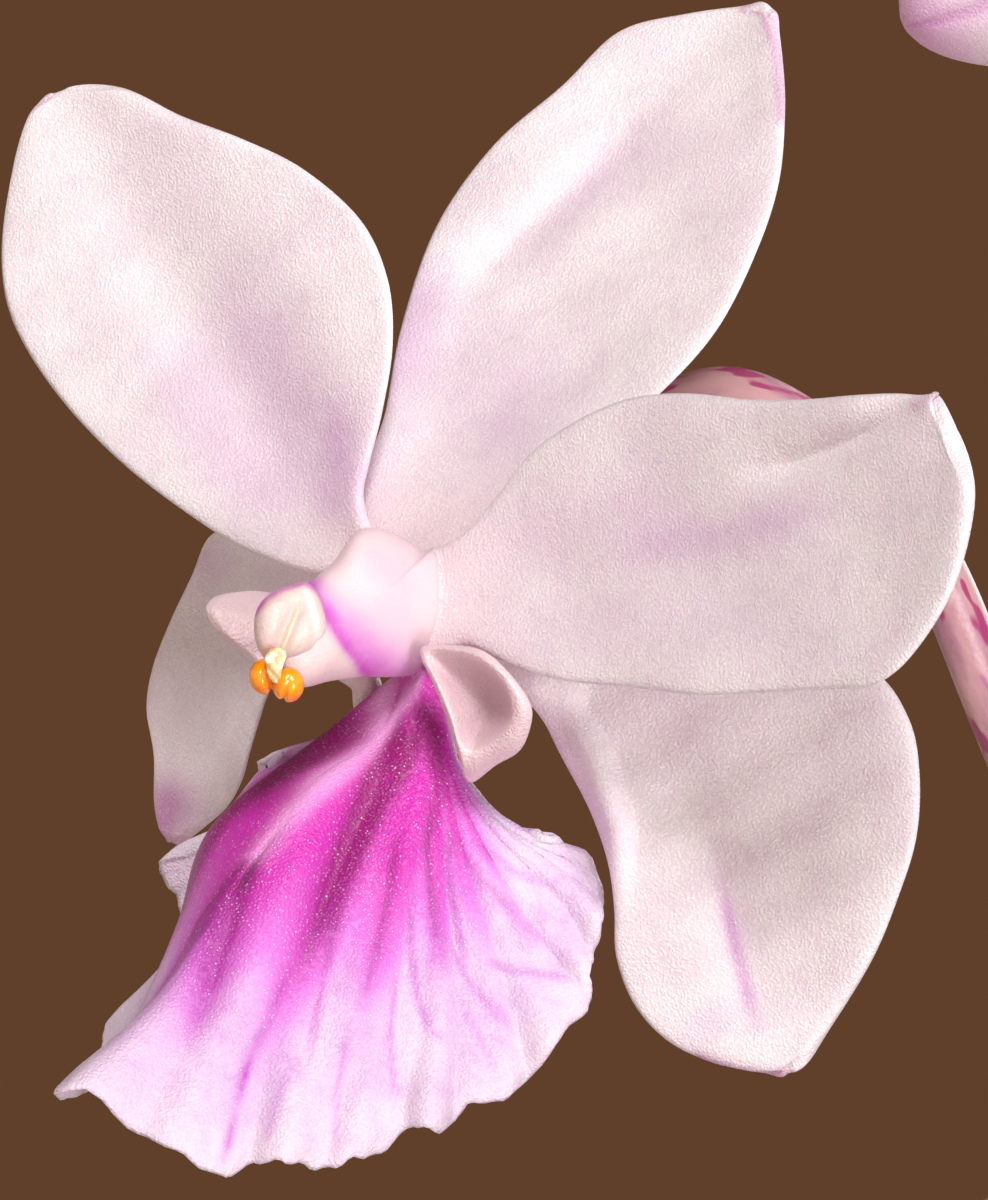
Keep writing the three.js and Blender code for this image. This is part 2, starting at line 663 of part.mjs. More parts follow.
// Buds: egg-shaped, nodding on short arched stalks. Each row is the height on the spike, the side, the
// turn in degrees and the scale.
const BUDS = [
  [298, 1, 0, 1],
  [318, -1, 10, 0.78],
  [332, 1, 24, 0.55],
];
const BUD_STALK = [
  [0, 0, 0, 0.85],
  [-5.5, -0.5, 4.2, 0.85],
  [-12, -1.2, 7, 0.9],
  [-18.5, -2, 6.2, 0.95],
  [-22.3, -2.4, 3, 1.1],
];
const BUD_BODY = [
  [-23, -2.5, 1.9, 1.4],
  [-24.3, -2.7, -0.6, 3.3],
  [-26, -2.9, -3.8, 4.1],
  [-27.9, -3.2, -7.3, 3.5],
  [-29.7, -3.4, -10.7, 1.5],
];

BUDS.forEach(([height, side, turnDegrees, scale], i) => {
  const [x, y, z, radius] = spikeAt(height);
  const group = new THREE.Group();
  group.position.set(x - side * (radius + STALK_CLEARANCE), y, z);
  group.rotation.z = THREE.MathUtils.degToRad(turnDegrees);
  group.scale.set(side * scale, scale, scale);
  addPiece(group, `bud_${i + 1}`, rod(BUD_BODY, 10, 8), BUD);
  addPiece(group, `bud_${i + 1}_pedicel`, rod(BUD_STALK, 7, 8), PEDICEL);
  plant.add(group);
});

plant.updateMatrixWorld(true);
export default plant;
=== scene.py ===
import math

import bpy
import numpy as np
from mathutils import Matrix, Vector


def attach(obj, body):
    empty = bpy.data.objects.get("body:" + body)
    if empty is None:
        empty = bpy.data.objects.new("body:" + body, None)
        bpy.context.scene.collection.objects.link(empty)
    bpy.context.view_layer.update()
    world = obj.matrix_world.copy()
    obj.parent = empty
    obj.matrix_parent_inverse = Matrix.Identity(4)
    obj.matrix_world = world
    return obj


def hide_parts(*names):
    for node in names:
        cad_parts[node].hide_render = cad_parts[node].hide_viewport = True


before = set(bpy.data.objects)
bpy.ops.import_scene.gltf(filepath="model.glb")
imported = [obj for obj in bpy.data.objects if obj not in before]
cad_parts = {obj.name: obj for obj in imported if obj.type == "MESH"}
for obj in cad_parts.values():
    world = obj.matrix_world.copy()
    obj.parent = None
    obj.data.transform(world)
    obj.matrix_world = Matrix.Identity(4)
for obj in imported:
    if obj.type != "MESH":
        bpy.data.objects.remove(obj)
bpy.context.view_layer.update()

# Camera
# A level look along +Y at the nearest flower from close in front of it, rolled clockwise as the
# photograph is. Everything below is worked out in millimetres and put into the meshes in metres.
MM = 0.001
FLOWER_CENTRE = np.array([2.0, 0.0, 262.0])
FLOWER_TURN = math.radians(37)
VIEW_DISTANCE = 222.0
VIEW_AXIS = np.array([2.13, -0.33])
PHOTO_PIXELS_PER_MM = 30.0
PHOTO_COLUMN_FOOT = np.array([430.0, 590.0])
LENS = 200.0
SENSOR_WIDTH = 36.0
CLIP_METRES = (0.01, 20.0)

# Columns: where x right, y up and z towards the eye of the look point to in the plant's frame.
LOOK_TO_PLANT = np.array([
    [math.cos(FLOWER_TURN), -math.sin(FLOWER_TURN), 0.0],
    [0.0, 0.0, -1.0],
    [math.sin(FLOWER_TURN), math.cos(FLOWER_TURN), 0.0],
])


def from_photo(pixels):
    """Millimetres right and up from the column's foot for places in the photograph: the offset from
    the foot in pixels over the pixels to a millimetre, with up reversed."""
    offset = (np.array(pixels, float) - PHOTO_COLUMN_FOOT) / PHOTO_PIXELS_PER_MM
    return offset * [1.0, -1.0]


def from_view(seen):
    """The true place of what is seen at x, y and lies z nearer than the flower's foot: x and y are
    drawn in towards the line of sight in the ratio of (distance - z) to distance."""
    nearness = (VIEW_DISTANCE - seen[..., 2:]) / VIEW_DISTANCE
    drawn_in = VIEW_AXIS + (seen[..., :2] - VIEW_AXIS) * nearness
    return np.concatenate([drawn_in, seen[..., 2:]], axis=-1)


camera = bpy.data.cameras.new("camera")
camera.type = "PERSP"
camera.lens = LENS
camera.sensor_width = SENSOR_WIDTH
camera.clip_start, camera.clip_end = CLIP_METRES
camera_seat = bpy.data.objects.new("camera", camera)
bpy.context.scene.collection.objects.link(camera_seat)
eye = FLOWER_CENTRE + LOOK_TO_PLANT @ np.array([*VIEW_AXIS, VIEW_DISTANCE])
camera_seat.matrix_world = Matrix.Translation(eye * MM) @ Matrix(LOOK_TO_PLANT.tolist()).to_4x4()
bpy.context.scene.camera = camera_seat
bpy.context.scene.view_settings.view_transform = "Standard"

# Pot
# One piece of thrown, unglazed clay: a tapered bowl with a stepped band under the rim and three
# drain holes cut in its floor before firing. Watering has left lime and a little algae on it.
POT_HEIGHT = 92.0
POT_TOP_RADIUS = 52.0
POT_FOOT_RADIUS = 36.0
POT_WALL = 4.5
POT_FLOOR = 6.0
POT_SECTION_POINTS = 180
POT_SIDES = 120
RIM_BAND_HEIGHT = 17.0
RIM_BAND_STEP = 3.5
RIM_BAND_SLOPE = 0.6
DRAIN_RADIUS = 5.0
DRAIN_CIRCLE_RADIUS = 20.0
DRAIN_ANGLES = np.radians([90.0, 210.0, 330.0])
MIDDLE_DISC_RADIUS = 2.0
THROWING_RING_PITCH = 2.7
THROWING_RING_DEPTH = 0.11
UNRINGED_EDGE = 3.0
POT_WARP = 0.16
POT_SHARP_DEGREES = 40.0
DRILL_SIDES = 40


def full_turn(count):
    """That many angles evenly round a full turn."""
    return np.linspace(0, 2 * np.pi, count, endpoint=False)


def lengths(points):
    """Length along the points up to each of them."""
    steps = np.linalg.norm(np.diff(points, axis=0), axis=1)
    return np.concatenate([[0.0], np.cumsum(steps)])


def rounded(corners, radii, steps=6):
    """Outline through the corners, each turned into a parabola from its radius before the corner to
    its radius after it: (1-t)^2 start + 2t(1-t) corner + t^2 end. The two ends stay sharp."""
    middle = corners[1:-1]
    reach = radii[:, None]
    to_last = corners[:-2] - middle
    to_next = corners[2:] - middle
    start = middle + reach * to_last / np.linalg.norm(to_last, axis=1, keepdims=True)
    end = middle + reach * to_next / np.linalg.norm(to_next, axis=1, keepdims=True)
    t = np.linspace(0, 1, steps)[None, :, None]
    curves = (1 - t) ** 2 * start[:, None] + 2 * t * (1 - t) * middle[:, None] + t * t * end[:, None]
    return np.concatenate([corners[:1], curves.reshape(-1, corners.shape[1]), corners[-1:]])


def evenly(outline, count):
    """The outline again as count points at equal distances along it."""
    run = lengths(outline)
    places = np.linspace(0, run[-1], count)
    return np.stack([np.interp(places, run, outline[:, i]) for i in range(outline.shape[1])], axis=-1)


def tube(rings, **paint):
    """Closed skin over rings[along, around]: quads between neighbouring rings, and at each end a fan
    to the ring's middle. It faces out where around turns right-handed about along."""
    along, around = rings.shape[:2]
    number = np.arange(along * around).reshape(along, around)
    beside = np.roll(number, -1, axis=1)
    quads = np.stack([number[:-1], beside[:-1], beside[1:], number[1:]], axis=-1)
    first = np.full(around, along * around)
    fans = [np.stack([beside[0], number[0], first], axis=-1)]
    fans.append(np.stack([number[-1], beside[-1], first + 1], axis=-1))
    painted = {}
    for title, value in paint.items():
        value = np.broadcast_to(value, (along, around))
        painted[title] = np.concatenate([value.ravel(), value[[0, -1]].mean(axis=1)])
    return {
        "points": np.concatenate([rings.reshape(-1, 3), rings[[0, -1]].mean(axis=1)]),
        "quads": quads.reshape(-1, 4),
        "triangles": np.concatenate(fans),
        "paint": painted,
    }


def mesh_object(name, shape):
    """An object at the origin in the scene, with the shape as its mesh, in metres."""
    mesh = bpy.data.meshes.new(name)
    faces = shape["quads"].tolist() + shape["triangles"].tolist()
    mesh.from_pydata((shape["points"] * MM).tolist(), [], faces)
    made = bpy.data.objects.new(name, mesh)
    bpy.context.scene.collection.objects.link(made)
    return made


def add_piece(name, shape, material, replaced=(), sharp_degrees=180.0):
    """Makes a piece of the shape, smooth but for its sharp edges, with its painted values as point
    attributes, and seats it in the frame."""
    piece = mesh_object(name, shape)
    mesh = piece.data
    for title, values in shape["paint"].items():
        attribute = mesh.attributes.new(title, "FLOAT", "POINT")
        attribute.data.foreach_set("value", values.astype(np.float32))
    mesh.shade_smooth()
    if sharp_degrees < 180.0:
        mesh.set_sharp_from_angle(angle=math.radians(sharp_degrees))
    mesh.materials.append(material)
    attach(piece, "root")
    if replaced:
        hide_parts(*replaced)
    return piece


def srgb(red, green, blue):
    """The linear colour of a screen colour: c/12.92 below 0.04, else ((c + 0.055)/1.055)^2.4."""
    c = np.array([red, green, blue]) / 255.0
    linear = np.where(c <= 0.04045, c / 12.92, ((c + 0.055) / 1.055) ** 2.4)
    return (*linear.tolist(), 1.0)


class Finish:
    """A material as it is built up: the node tree, the shader with its uniform values, the place on
    the piece in its own frame, and the colour laid on so far."""

    def __init__(self, name, **values):
        """Starts the material; a socket's name has _ for each space."""
        self.material = bpy.data.materials.new(name)
        self.material.use_nodes = True
        self.tree = self.material.node_tree
        self.shader = self.tree.nodes["Principled BSDF"]
        for socket, value in values.items():
            self.shader.inputs[socket.replace("_", " ")].default_value = value
        self.spot = self.tree.nodes.new("ShaderNodeTexCoord").outputs["Object"]
        self.colour = None

    def add(self, kind, inputs, **settings):
        """A node with its settings and its inputs: a socket is linked, a value is set."""
        node = self.tree.nodes.new("ShaderNode" + kind)
        for setting, value in settings.items():
            setattr(node, setting, value)
        for socket, value in inputs.items():
            if isinstance(value, bpy.types.NodeSocket):
                self.tree.links.new(value, node.inputs[socket])
            else:
                node.inputs[socket].default_value = value
        return node

    def painted(self, title):
        """The value of that title painted on the mesh's points."""
        return self.add("Attribute", {}, attribute_name=title).outputs["Fac"]

    def noise(self, per_metre, detail=3.0, stretch=(1.0, 1.0, 1.0), spot=None):
        """Cloudy value about 0.5, with so many clouds to the metre and stretched along the axes."""
        start = self.spot if spot is None else spot
        place = self.add("Mapping", {"Vector": start, "Scale": stretch}).outputs[0]
        inputs = {"Vector": place, "Scale": per_metre, "Detail": detail}
        return self.add("TexNoise", inputs).outputs["Fac"]

    def cells(self, per_metre):
        """Cells at random places: how far the cell's middle is, and three random numbers for it."""
        cells = self.add("TexVoronoi", {"Vector": self.spot, "Scale": per_metre})
        picked = self.add("SeparateColor", {"Color": cells.outputs["Color"]})
        return cells.outputs["Distance"], picked.outputs

    def eased(self, value, low, high, start=0.0, end=1.0):
        """start where value is low or less, end where it is high or more, a smooth step between."""
        inputs = {"Value": value, "From Min": low, "From Max": high, "To Min": start, "To Max": end}
        return self.add("MapRange", inputs, interpolation_type="SMOOTHSTEP").outputs["Result"]

    def product(self, first, second):
        """first times second, held between 0 and 1."""
        inputs = {0: first, 1: second}
        return self.add("Math", inputs, operation="MULTIPLY", use_clamp=True).outputs[0]

    def raised(self, value, rise):
        """value plus rise."""
        return self.add("Math", {0: value, 1: rise}, operation="ADD").outputs[0]

    def mixed(self, share, first, second):
        """first and second mixed by share: 0 gives first and 1 gives second."""
        return self.add("Mix", {0: share, 6: first, 7: second}, data_type="RGBA").outputs[2]

    def mottle(self, value, low, high, first, second):
        """Starts with first where value is low or less and second where it is high or more."""
        self.colour = self.mixed(self.eased(value, low, high), first, second)

    def cover(self, share, colour):
        """Lays a colour over what is there, as thickly as share says."""
        self.colour = self.mixed(share, self.colour, colour)

    def stain(self, value, low, high, most, colour):
        """Lays a colour on from nothing where value is low to most where value is high."""
        self.cover(self.eased(value, low, high, 0.0, most), colour)

    def bump(self, height, depth, strength):
        """Bumps the surface by that height map, depth deep in metres."""
        bump = self.add("Bump", {"Height": height, "Distance": depth, "Strength": strength})
        self.tree.links.new(bump.outputs["Normal"], self.shader.inputs["Normal"])

    def done(self):
        """The material, with the colour laid on."""
        self.tree.links.new(self.colour, self.shader.inputs["Base Color"])
        return self.material


def pot_wall(z):
    """Outer radius of the bowl at height z: a straight taper from foot to top."""
    top = POT_TOP_RADIUS - RIM_BAND_STEP
    return POT_FOOT_RADIUS + (top - POT_FOOT_RADIUS) * z / POT_HEIGHT


def pot_rings():
    """The pot's section, from the middle of its underside out, up, over the rim and down inside,
    turned about the axis. The wall outside waves by a sine of the height, as fingers leave it, and
    by a slower one, and draws in by a cosine of twice the angle that grows with the height."""
    band_foot = POT_HEIGHT - RIM_BAND_HEIGHT
    # Radius, height and rounding of each corner.
    corners = np.array([
        (MIDDLE_DISC_RADIUS, 0.0, 0.0),
        (pot_wall(0.0), 0.0, 1.6),
        (pot_wall(band_foot), band_foot, 0.8),
        (POT_TOP_RADIUS - RIM_BAND_SLOPE, band_foot + RIM_BAND_SLOPE, 1.4),
        (POT_TOP_RADIUS, POT_HEIGHT, 2.2),
        (pot_wall(POT_HEIGHT) - POT_WALL, POT_HEIGHT, 1.8),
        (pot_wall(POT_FLOOR) - POT_WALL, POT_FLOOR, 5.0),
        (MIDDLE_DISC_RADIUS, POT_FLOOR, 0.0),
    ])
    outline = evenly(rounded(corners[:, :2], corners[1:-1, 2]), POT_SECTION_POINTS)
    radius, height = outline[:, 0, None], outline[:, 1, None]
    angle = full_turn(POT_SIDES)[None, :]
    ringed = (radius > pot_wall(height) - POT_WALL / 2) & (height > UNRINGED_EDGE)
    ringed = ringed & (height < POT_HEIGHT - UNRINGED_EDGE)
    wander = 0.6 * np.sin(2 * angle + height * 0.05)
    ring_wave = np.sin(2 * np.pi * height / THROWING_RING_PITCH + wander)
    slow_wave = np.sin(height * 0.21 + 1.3 * np.sin(angle + 0.4))
    warp = POT_WARP * np.cos(2 * angle + 0.7) * height / POT_HEIGHT
    radius = radius + ringed * THROWING_RING_DEPTH * (ring_wave + 0.7 * slow_wave) - np.abs(warp)
    return np.stack([radius * np.cos(angle), radius * np.sin(angle), height + 0 * angle], axis=-1)


def clay_material():
    """Fired clay: sandy speckle, soft blotches, white lime low down and in patches, algae on top."""
    clay = Finish("fired_clay", Roughness=0.86, Specular_IOR_Level=0.3)
    clay.mottle(clay.noise(28.0, 5.0), 0.35, 0.68, srgb(168, 92, 60), srgb(196, 120, 84))
    clay.stain(clay.noise(60.0, 3.0, (0.15, 0.15, 3.0)), 0.5, 0.75, 0.35, srgb(140, 72, 46))
    grain = clay.cells(900.0)[1]
    clay.stain(grain["Red"], 0.86, 0.97, 0.5, srgb(222, 170, 130))
    clay.stain(grain["Green"], 0.9, 0.98, 0.55, srgb(92, 50, 34))
    height = clay.add("SeparateXYZ", {"Vector": clay.spot}).outputs["Z"]
    low = clay.eased(height, 0.0, 0.05, 1.0, 0.25)
    lime = clay.product(clay.eased(clay.noise(45.0, 6.0), 0.48, 0.72), low)
    clay.cover(clay.product(lime, 0.75), srgb(226, 212, 192))
    high = clay.eased(height, 0.055, 0.078)
    algae = clay.eased(clay.noise(80.0, 5.0), 0.56, 0.74, 0.0, 0.5)
    clay.cover(clay.product(algae, high), srgb(92, 98, 52))
    clay.bump(clay.noise(700.0, 6.0), 0.00035, 0.6)
    return clay.done()


def drilled(body, drills):
    """Cuts the drills out of the body's mesh for good."""
    for drill in drills:
        cut = body.modifiers.new("drill", "BOOLEAN")
        cut.operation = "DIFFERENCE"
        cut.solver = "EXACT"
        cut.object = drill
    graph = bpy.context.evaluated_depsgraph_get()
    cut_mesh = bpy.data.meshes.new_from_object(body.evaluated_get(graph))
    body.modifiers.clear()
    body.data = cut_mesh
    for drill in drills:
        bpy.data.objects.remove(drill)


def drill_at(angle):
    """A round drill through the floor, its middle on the drain circle."""
    turn = full_turn(DRILL_SIDES)
    height = np.array([-POT_FLOOR, 2 * POT_FLOOR])[:, None]
    across = DRAIN_CIRCLE_RADIUS * np.cos(angle) + DRAIN_RADIUS * np.cos(turn)
    deep = DRAIN_CIRCLE_RADIUS * np.sin(angle) + DRAIN_RADIUS * np.sin(turn)
    rings = np.stack([across + 0 * height, deep + 0 * height, height + 0 * turn], axis=-1)
    return mesh_object("drill", tube(rings))


pot = add_piece("pot_body", tube(pot_rings()), clay_material(), ["pot"])
drilled(pot, [drill_at(angle) for angle in DRAIN_ANGLES])
pot.data.set_sharp_from_angle(angle=math.radians(POT_SHARP_DEGREES))

# Bark
# The potting mix is loose chunks of pine bark, filled in round the roots and heaped a little towards
# the stem. Below it is one mass; the chunks on top are separate, turned every way, and dusty.
BARK_TOP = 79.0
BARK_CLEARANCE = 0.4
BARK_SIDES = 96
CHUNK_COUNT = 480
CHUNK_LENGTHS = (6.0, 13.0)
CHUNK_WIDTH_SHARES = (0.45, 0.8)
CHUNK_THICKNESS_SHARES = (0.22, 0.5)
CHUNK_ROUNDING = 0.13
CHUNK_ROUGHNESS = 0.13
CHUNK_TILT = 0.42
CHUNK_WALL_GAP = 4.5
CHUNK_RISE = (-1.2, 2.2)
CHUNK_SHARP_DEGREES = 38.0
SPIRAL_ANGLE = 2.39996
SPIRAL_JITTER = 0.12
random = np.random.default_rng(11)


def bark_height(x, y):
    """Height of the mix: its level, a heap falling off evenly from the stem, and two waves."""
    radius = np.hypot(x, y)
    angle = np.arctan2(y, x)
    waves = 1.2 * np.sin(3 * angle + radius * 0.21) + 1.0 * np.cos(5 * angle - radius * 0.33)
    return BARK_TOP - 2.5 + np.minimum(radius / 10, 1) * waves + 3.0 * (1 - radius / 45)


def bark_mass():
    """The mass below: rings from the middle of its foot, up the wall, then in over the top."""
    angle = full_turn(BARK_SIDES)[None, :]
    foot = POT_FLOOR + BARK_CLEARANCE
    wall_height = np.linspace(foot + 4, BARK_TOP - 5.0, 12)
    wall = pot_wall(wall_height) - POT_WALL - BARK_CLEARANCE
    top_radius = np.linspace(wall[-1] - 1.0, 3.0, 22)
    radius = np.concatenate([[3.0, wall[0] - 5.0], wall, top_radius])[:, None] + 0 * angle
    x, y = radius * np.cos(angle), radius * np.sin(angle)
    fixed = np.concatenate([[foot, foot], wall_height])[:, None] + 0 * angle
    top = bark_height(x, y)[len(fixed):]
    return tube(np.stack([x, y, np.concatenate([fixed, top])], axis=-1), tone=0.15)


def cube_net(cells):
    """Points and quads of a cube from -1 to 1 with cells squares along each edge: six flat grids,
    with the points they share along the edges merged."""
    line = np.linspace(-1, 1, cells + 1)
    u, v = [value.ravel() for value in np.meshgrid(line, line, indexing="ij")]
    one = np.ones_like(u)
    sides = [(one, u, v), (-one, v, u), (v, one, u), (u, -one, v), (u, v, one), (v, u, -one)]
    points = np.concatenate([np.stack(side, axis=-1) for side in sides])
    number = np.arange((cells + 1) ** 2).reshape(cells + 1, cells + 1)
    quads = np.stack([number[:-1, :-1], number[1:, :-1], number[1:, 1:], number[:-1, 1:]], axis=-1)
    quads = np.concatenate([quads.reshape(-1, 4) + side * number.size for side in range(6)])
    kept, where = np.unique(points.round(6), axis=0, return_inverse=True)
    return kept, where.ravel()[quads]


def turning(axis, angle):
    """The matrices that turn by each angle about x, y or z (axis 0, 1 or 2)."""
    following, last = (axis + 1) % 3, (axis + 2) % 3
    matrix = np.zeros((3, 3, len(angle)))
    matrix[axis, axis] = 1.0
    matrix[following, following] = np.cos(angle)
    matrix[last, last] = np.cos(angle)
    matrix[last, following] = np.sin(angle)
    matrix[following, last] = -np.sin(angle)
    return matrix


def bark_chunks():
    """Every chunk is a cube net squashed to its own length, width and thickness, its corners pushed
    about at random and a little rounded, turned every way and set on the heap in a spiral."""
    net, quads = cube_net(3)
    rounding = 1 - CHUNK_ROUNDING * (np.linalg.norm(net, axis=1, keepdims=True) - 1)
    order = np.arange(CHUNK_COUNT)
    reach = pot_wall(BARK_TOP) - POT_WALL - CHUNK_WALL_GAP
    radius = reach * np.sqrt((order + 0.5) / CHUNK_COUNT)
    angle = order * SPIRAL_ANGLE + random.normal(0, SPIRAL_JITTER, CHUNK_COUNT)
    x, y = radius * np.cos(angle), radius * np.sin(angle)
    length = random.uniform(*CHUNK_LENGTHS, CHUNK_COUNT)
    size = length[:, None] / 2 * np.stack([
        np.ones(CHUNK_COUNT),
        random.uniform(*CHUNK_WIDTH_SHARES, CHUNK_COUNT),
        random.uniform(*CHUNK_THICKNESS_SHARES, CHUNK_COUNT),
    ], axis=-1)
    near_wall = np.clip((radius / reach - 0.8) / 0.2, 0, 1)
    tilt = random.normal(0, CHUNK_TILT, (2, CHUNK_COUNT)) * (1 - 0.6 * near_wall)
    yaw = random.uniform(0, 2 * np.pi, CHUNK_COUNT)
    turn = np.einsum("ijn,jkn,kln->nil", turning(2, yaw), turning(1, tilt[0]), turning(0, tilt[1]))
    rough = (net * rounding)[None] + random.normal(0, CHUNK_ROUGHNESS, (CHUNK_COUNT, *net.shape))
    points = np.einsum("nij,npj->npi", turn, rough * size[:, None])
    z = bark_height(x, y) + random.uniform(*CHUNK_RISE, CHUNK_COUNT) - 1.4 * near_wall
    points += np.stack([x, y, z], axis=-1)[:, None]
    spread = np.hypot(points[..., 0], points[..., 1])
    limit = pot_wall(points[..., 2]) - POT_WALL - BARK_CLEARANCE
    points[..., :2] *= np.minimum(1, limit / spread)[..., None]
    numbered = quads[None] + (order * len(net))[:, None, None]
    return {
        "points": points.reshape(-1, 3),
        "quads": numbered.reshape(-1, 4),
        "triangles": np.zeros((0, 3), int),
        "paint": {"tone": np.repeat(random.uniform(0, 1, CHUNK_COUNT), len(net))},
    }


def together(shapes):
    """Several shapes as one: each one's faces are numbered on from the points before it, and what
    is painted on only some of them is 0 on the others."""
    counts = [len(shape["points"]) for shape in shapes]
    starts = np.concatenate([[0], np.cumsum(counts)[:-1]])
    titles = sorted({title for shape in shapes for title in shape["paint"]})
    joined = {"points": np.concatenate([shape["points"] for shape in shapes])}
    for kind in ("quads", "triangles"):
        joined[kind] = np.concatenate([shape[kind] + start for shape, start in zip(shapes, starts)])
    joined["paint"] = {
        title: np.concatenate([
            shape["paint"].get(title, np.zeros(count)) for shape, count in zip(shapes, counts)
        ])
        for title in titles
    }
    return joined


def bark_material():
    """Pine bark: red-brown plates in thin layers, darker where damp, with pale dusty patches."""
    bark = Finish("pine_bark", Roughness=0.93, Specular_IOR_Level=0.25)
    layers = bark.noise(260.0, 5.0, (1.0, 1.0, 4.0))
    bark.mottle(bark.painted("tone"), 0.0, 1.0, srgb(58, 36, 24), srgb(120, 78, 50))
    bark.stain(layers, 0.42, 0.7, 0.8, srgb(150, 104, 70))
    bark.stain(bark.noise(140.0, 4.0), 0.52, 0.72, 0.75, srgb(34, 22, 16))
    bark.stain(bark.noise(520.0, 5.0), 0.6, 0.78, 0.45, srgb(190, 160, 128))
    bark.bump(layers, 0.0012, 0.9)
    return bark.done()


bark_shape = together([bark_mass(), bark_chunks()])
add_piece("bark_mix", bark_shape, bark_material(), ["bark"], CHUNK_SHARP_DEGREES)

# Stem
# Short and upright, little thicker than a pencil: what shows of it between the leaf bases is ringed
# with the scars of leaves that have dropped.
STEM_RADIUS = 5.0
# Rows of x, y, z and radius.
STEM_LINE = [
    [0, 0, 70, 3.8],
    [0, 0, 78, STEM_RADIUS],
    [0, 0, 110, STEM_RADIUS],
    [0, 0, 133, 4.6],
    [0, 0, 136, 2.0],
]
STEM_GRID = (48, 120)
SCAR_PITCH = 4.2
SCAR_HEIGHT_SHARE = 0.03
# Where a rod's rings start, before they are set square to its way on.
RING_START = np.array([0.83, 0.43, 0.36])


def smooth(rows, t):
    """The smooth curve through rows, at each t from 0 to 1: Catmull-Rom, so between two rows it
    leaves and arrives with half the step from the row before to the row after."""
    rows = np.asarray(rows, float)
    t = np.asarray(t, float)
    last = len(rows) - 1
    span = np.clip((t * last).astype(int), 0, last - 1)
    s = (t * last - span).reshape(t.shape + (1,) * (rows.ndim - 1))
    before, start = rows[np.maximum(span - 1, 0)], rows[span]
    end, after = rows[span + 1], rows[np.minimum(span + 2, last)]
    leave, arrive = (end - before) / 2, (after - start) / 2
    ease = s * s * (3 - 2 * s)
    return start + (end - start) * ease + s * (1 - s) * (leave * (1 - s) - arrive * s)


def unit(vectors):
    """The vectors, each at length one."""
    return vectors / np.maximum(np.linalg.norm(vectors, axis=-1, keepdims=True), 1e-9)


def strand(line, around, along, relief=None):
    """Rod with domed ends through rows of x, y, z and radius, its rings a little closer at the ends,
    at 0.7s + 0.3(1 - cos(pi s))/2. Round each middle point runs a circle square to the way on, of
    its radius times 1 plus relief(run, turn); the circle's starting side is carried along without
    twist. Painted with the turn's cosine and sine and the run in millimetres."""
    spread = np.linspace(0, 1, along)
    rows = smooth(line, 0.7 * spread + 0.3 * (0.5 - 0.5 * np.cos(np.pi * spread)))
    centre, radius = rows[:, :3], rows[:, 3]
    ahead = unit(np.gradient(centre, axis=0))
    side = RING_START
    sides = []
    for way in ahead:
        side = unit(side - way * (side @ way))
        sides.append(side)
    sides = np.array(sides)
    others = np.cross(ahead, sides)
    run = lengths(centre)
    from_end = np.minimum(run, run[-1] - run) / radius
    dome = np.sqrt(np.clip(1 - (1 - np.clip(from_end, 0.02, 1)) ** 2, 0, 1))
    turn = full_turn(around)[None, :]
    run = run[:, None]
    reach = (radius * dome)[:, None] * (1 + (relief(run, turn) if relief else 0 * turn))
    circle = np.cos(turn)[..., None] * sides[:, None] + np.sin(turn)[..., None] * others[:, None]
    rings = centre[:, None] + reach[..., None] * circle
    return tube(rings, turn_x=np.cos(turn), turn_y=np.sin(turn), run=run)


def scar_relief(run, turn):
    """Thickens the stem at each scar by its share times the sixth power of a sine of the run."""
    wave = np.sin(2 * np.pi * run / SCAR_PITCH)
    return SCAR_HEIGHT_SHARE * np.maximum(0, wave) ** 6 + 0 * turn


def stem_material():
    """Green ripening to brown, with the pale corky lines of old leaf scars across it."""
    stem = Finish("green_stem", Roughness=0.62)
    scars = stem.noise(300.0, 3.0, (0.1, 0.1, 1.6))
    stem.mottle(stem.noise(160.0, 4.0), 0.38, 0.66, srgb(94, 112, 50), srgb(128, 104, 62))
    stem.stain(scars, 0.56, 0.7, 0.6, srgb(176, 156, 112))
    stem.bump(scars, 0.0004, 0.6)
    return stem.done()


stem_shape = strand(STEM_LINE, *STEM_GRID, scar_relief)
add_piece("stem_core", stem_shape, stem_material(), ["stem"])

# Roots
# Five thick cords in a dry grey-white skin, from the foot of the stem over the bark: three go down
# into it and two run out over the rim and hang, each with a growing green tip.
ROOT_RADIUS = 2.6
ROOT_TAPER = 0.72
ROOT_GRID = (26, 170)
# Places along each root.
ROOT_LINES = [
    [[-4.9, -2.9, 88], [-14, -9, 90], [-24, -15, 85], [-30, -18, 77], [-32, -19, 67]],
    [[5.1, -2.5, 87], [16, -9, 88], [25, -16, 84], [29, -22, 77], [29, -23, 67]],
    [[-2.9, 4.9, 86], [-11, 18, 87], [-17, 28, 82], [-19, 31, 72]],
    [[4.4, 3.7, 89], [16, 12, 93], [31, 17, 91], [42, 21, 97], [53.5, 26, 97],
     [59, 29, 86], [60, 30, 66], [57, 29, 50]],
    [[-5.8, 1.1, 91], [-20, 5, 96], [-34, 9, 98], [-47, 10, 99], [-58, 12, 95],
     [-62, 13, 80], [-60, 13, 62]],
]
HANGING_ROOTS = (3, 4)
ROOT_TIP_LENGTH = 9.0


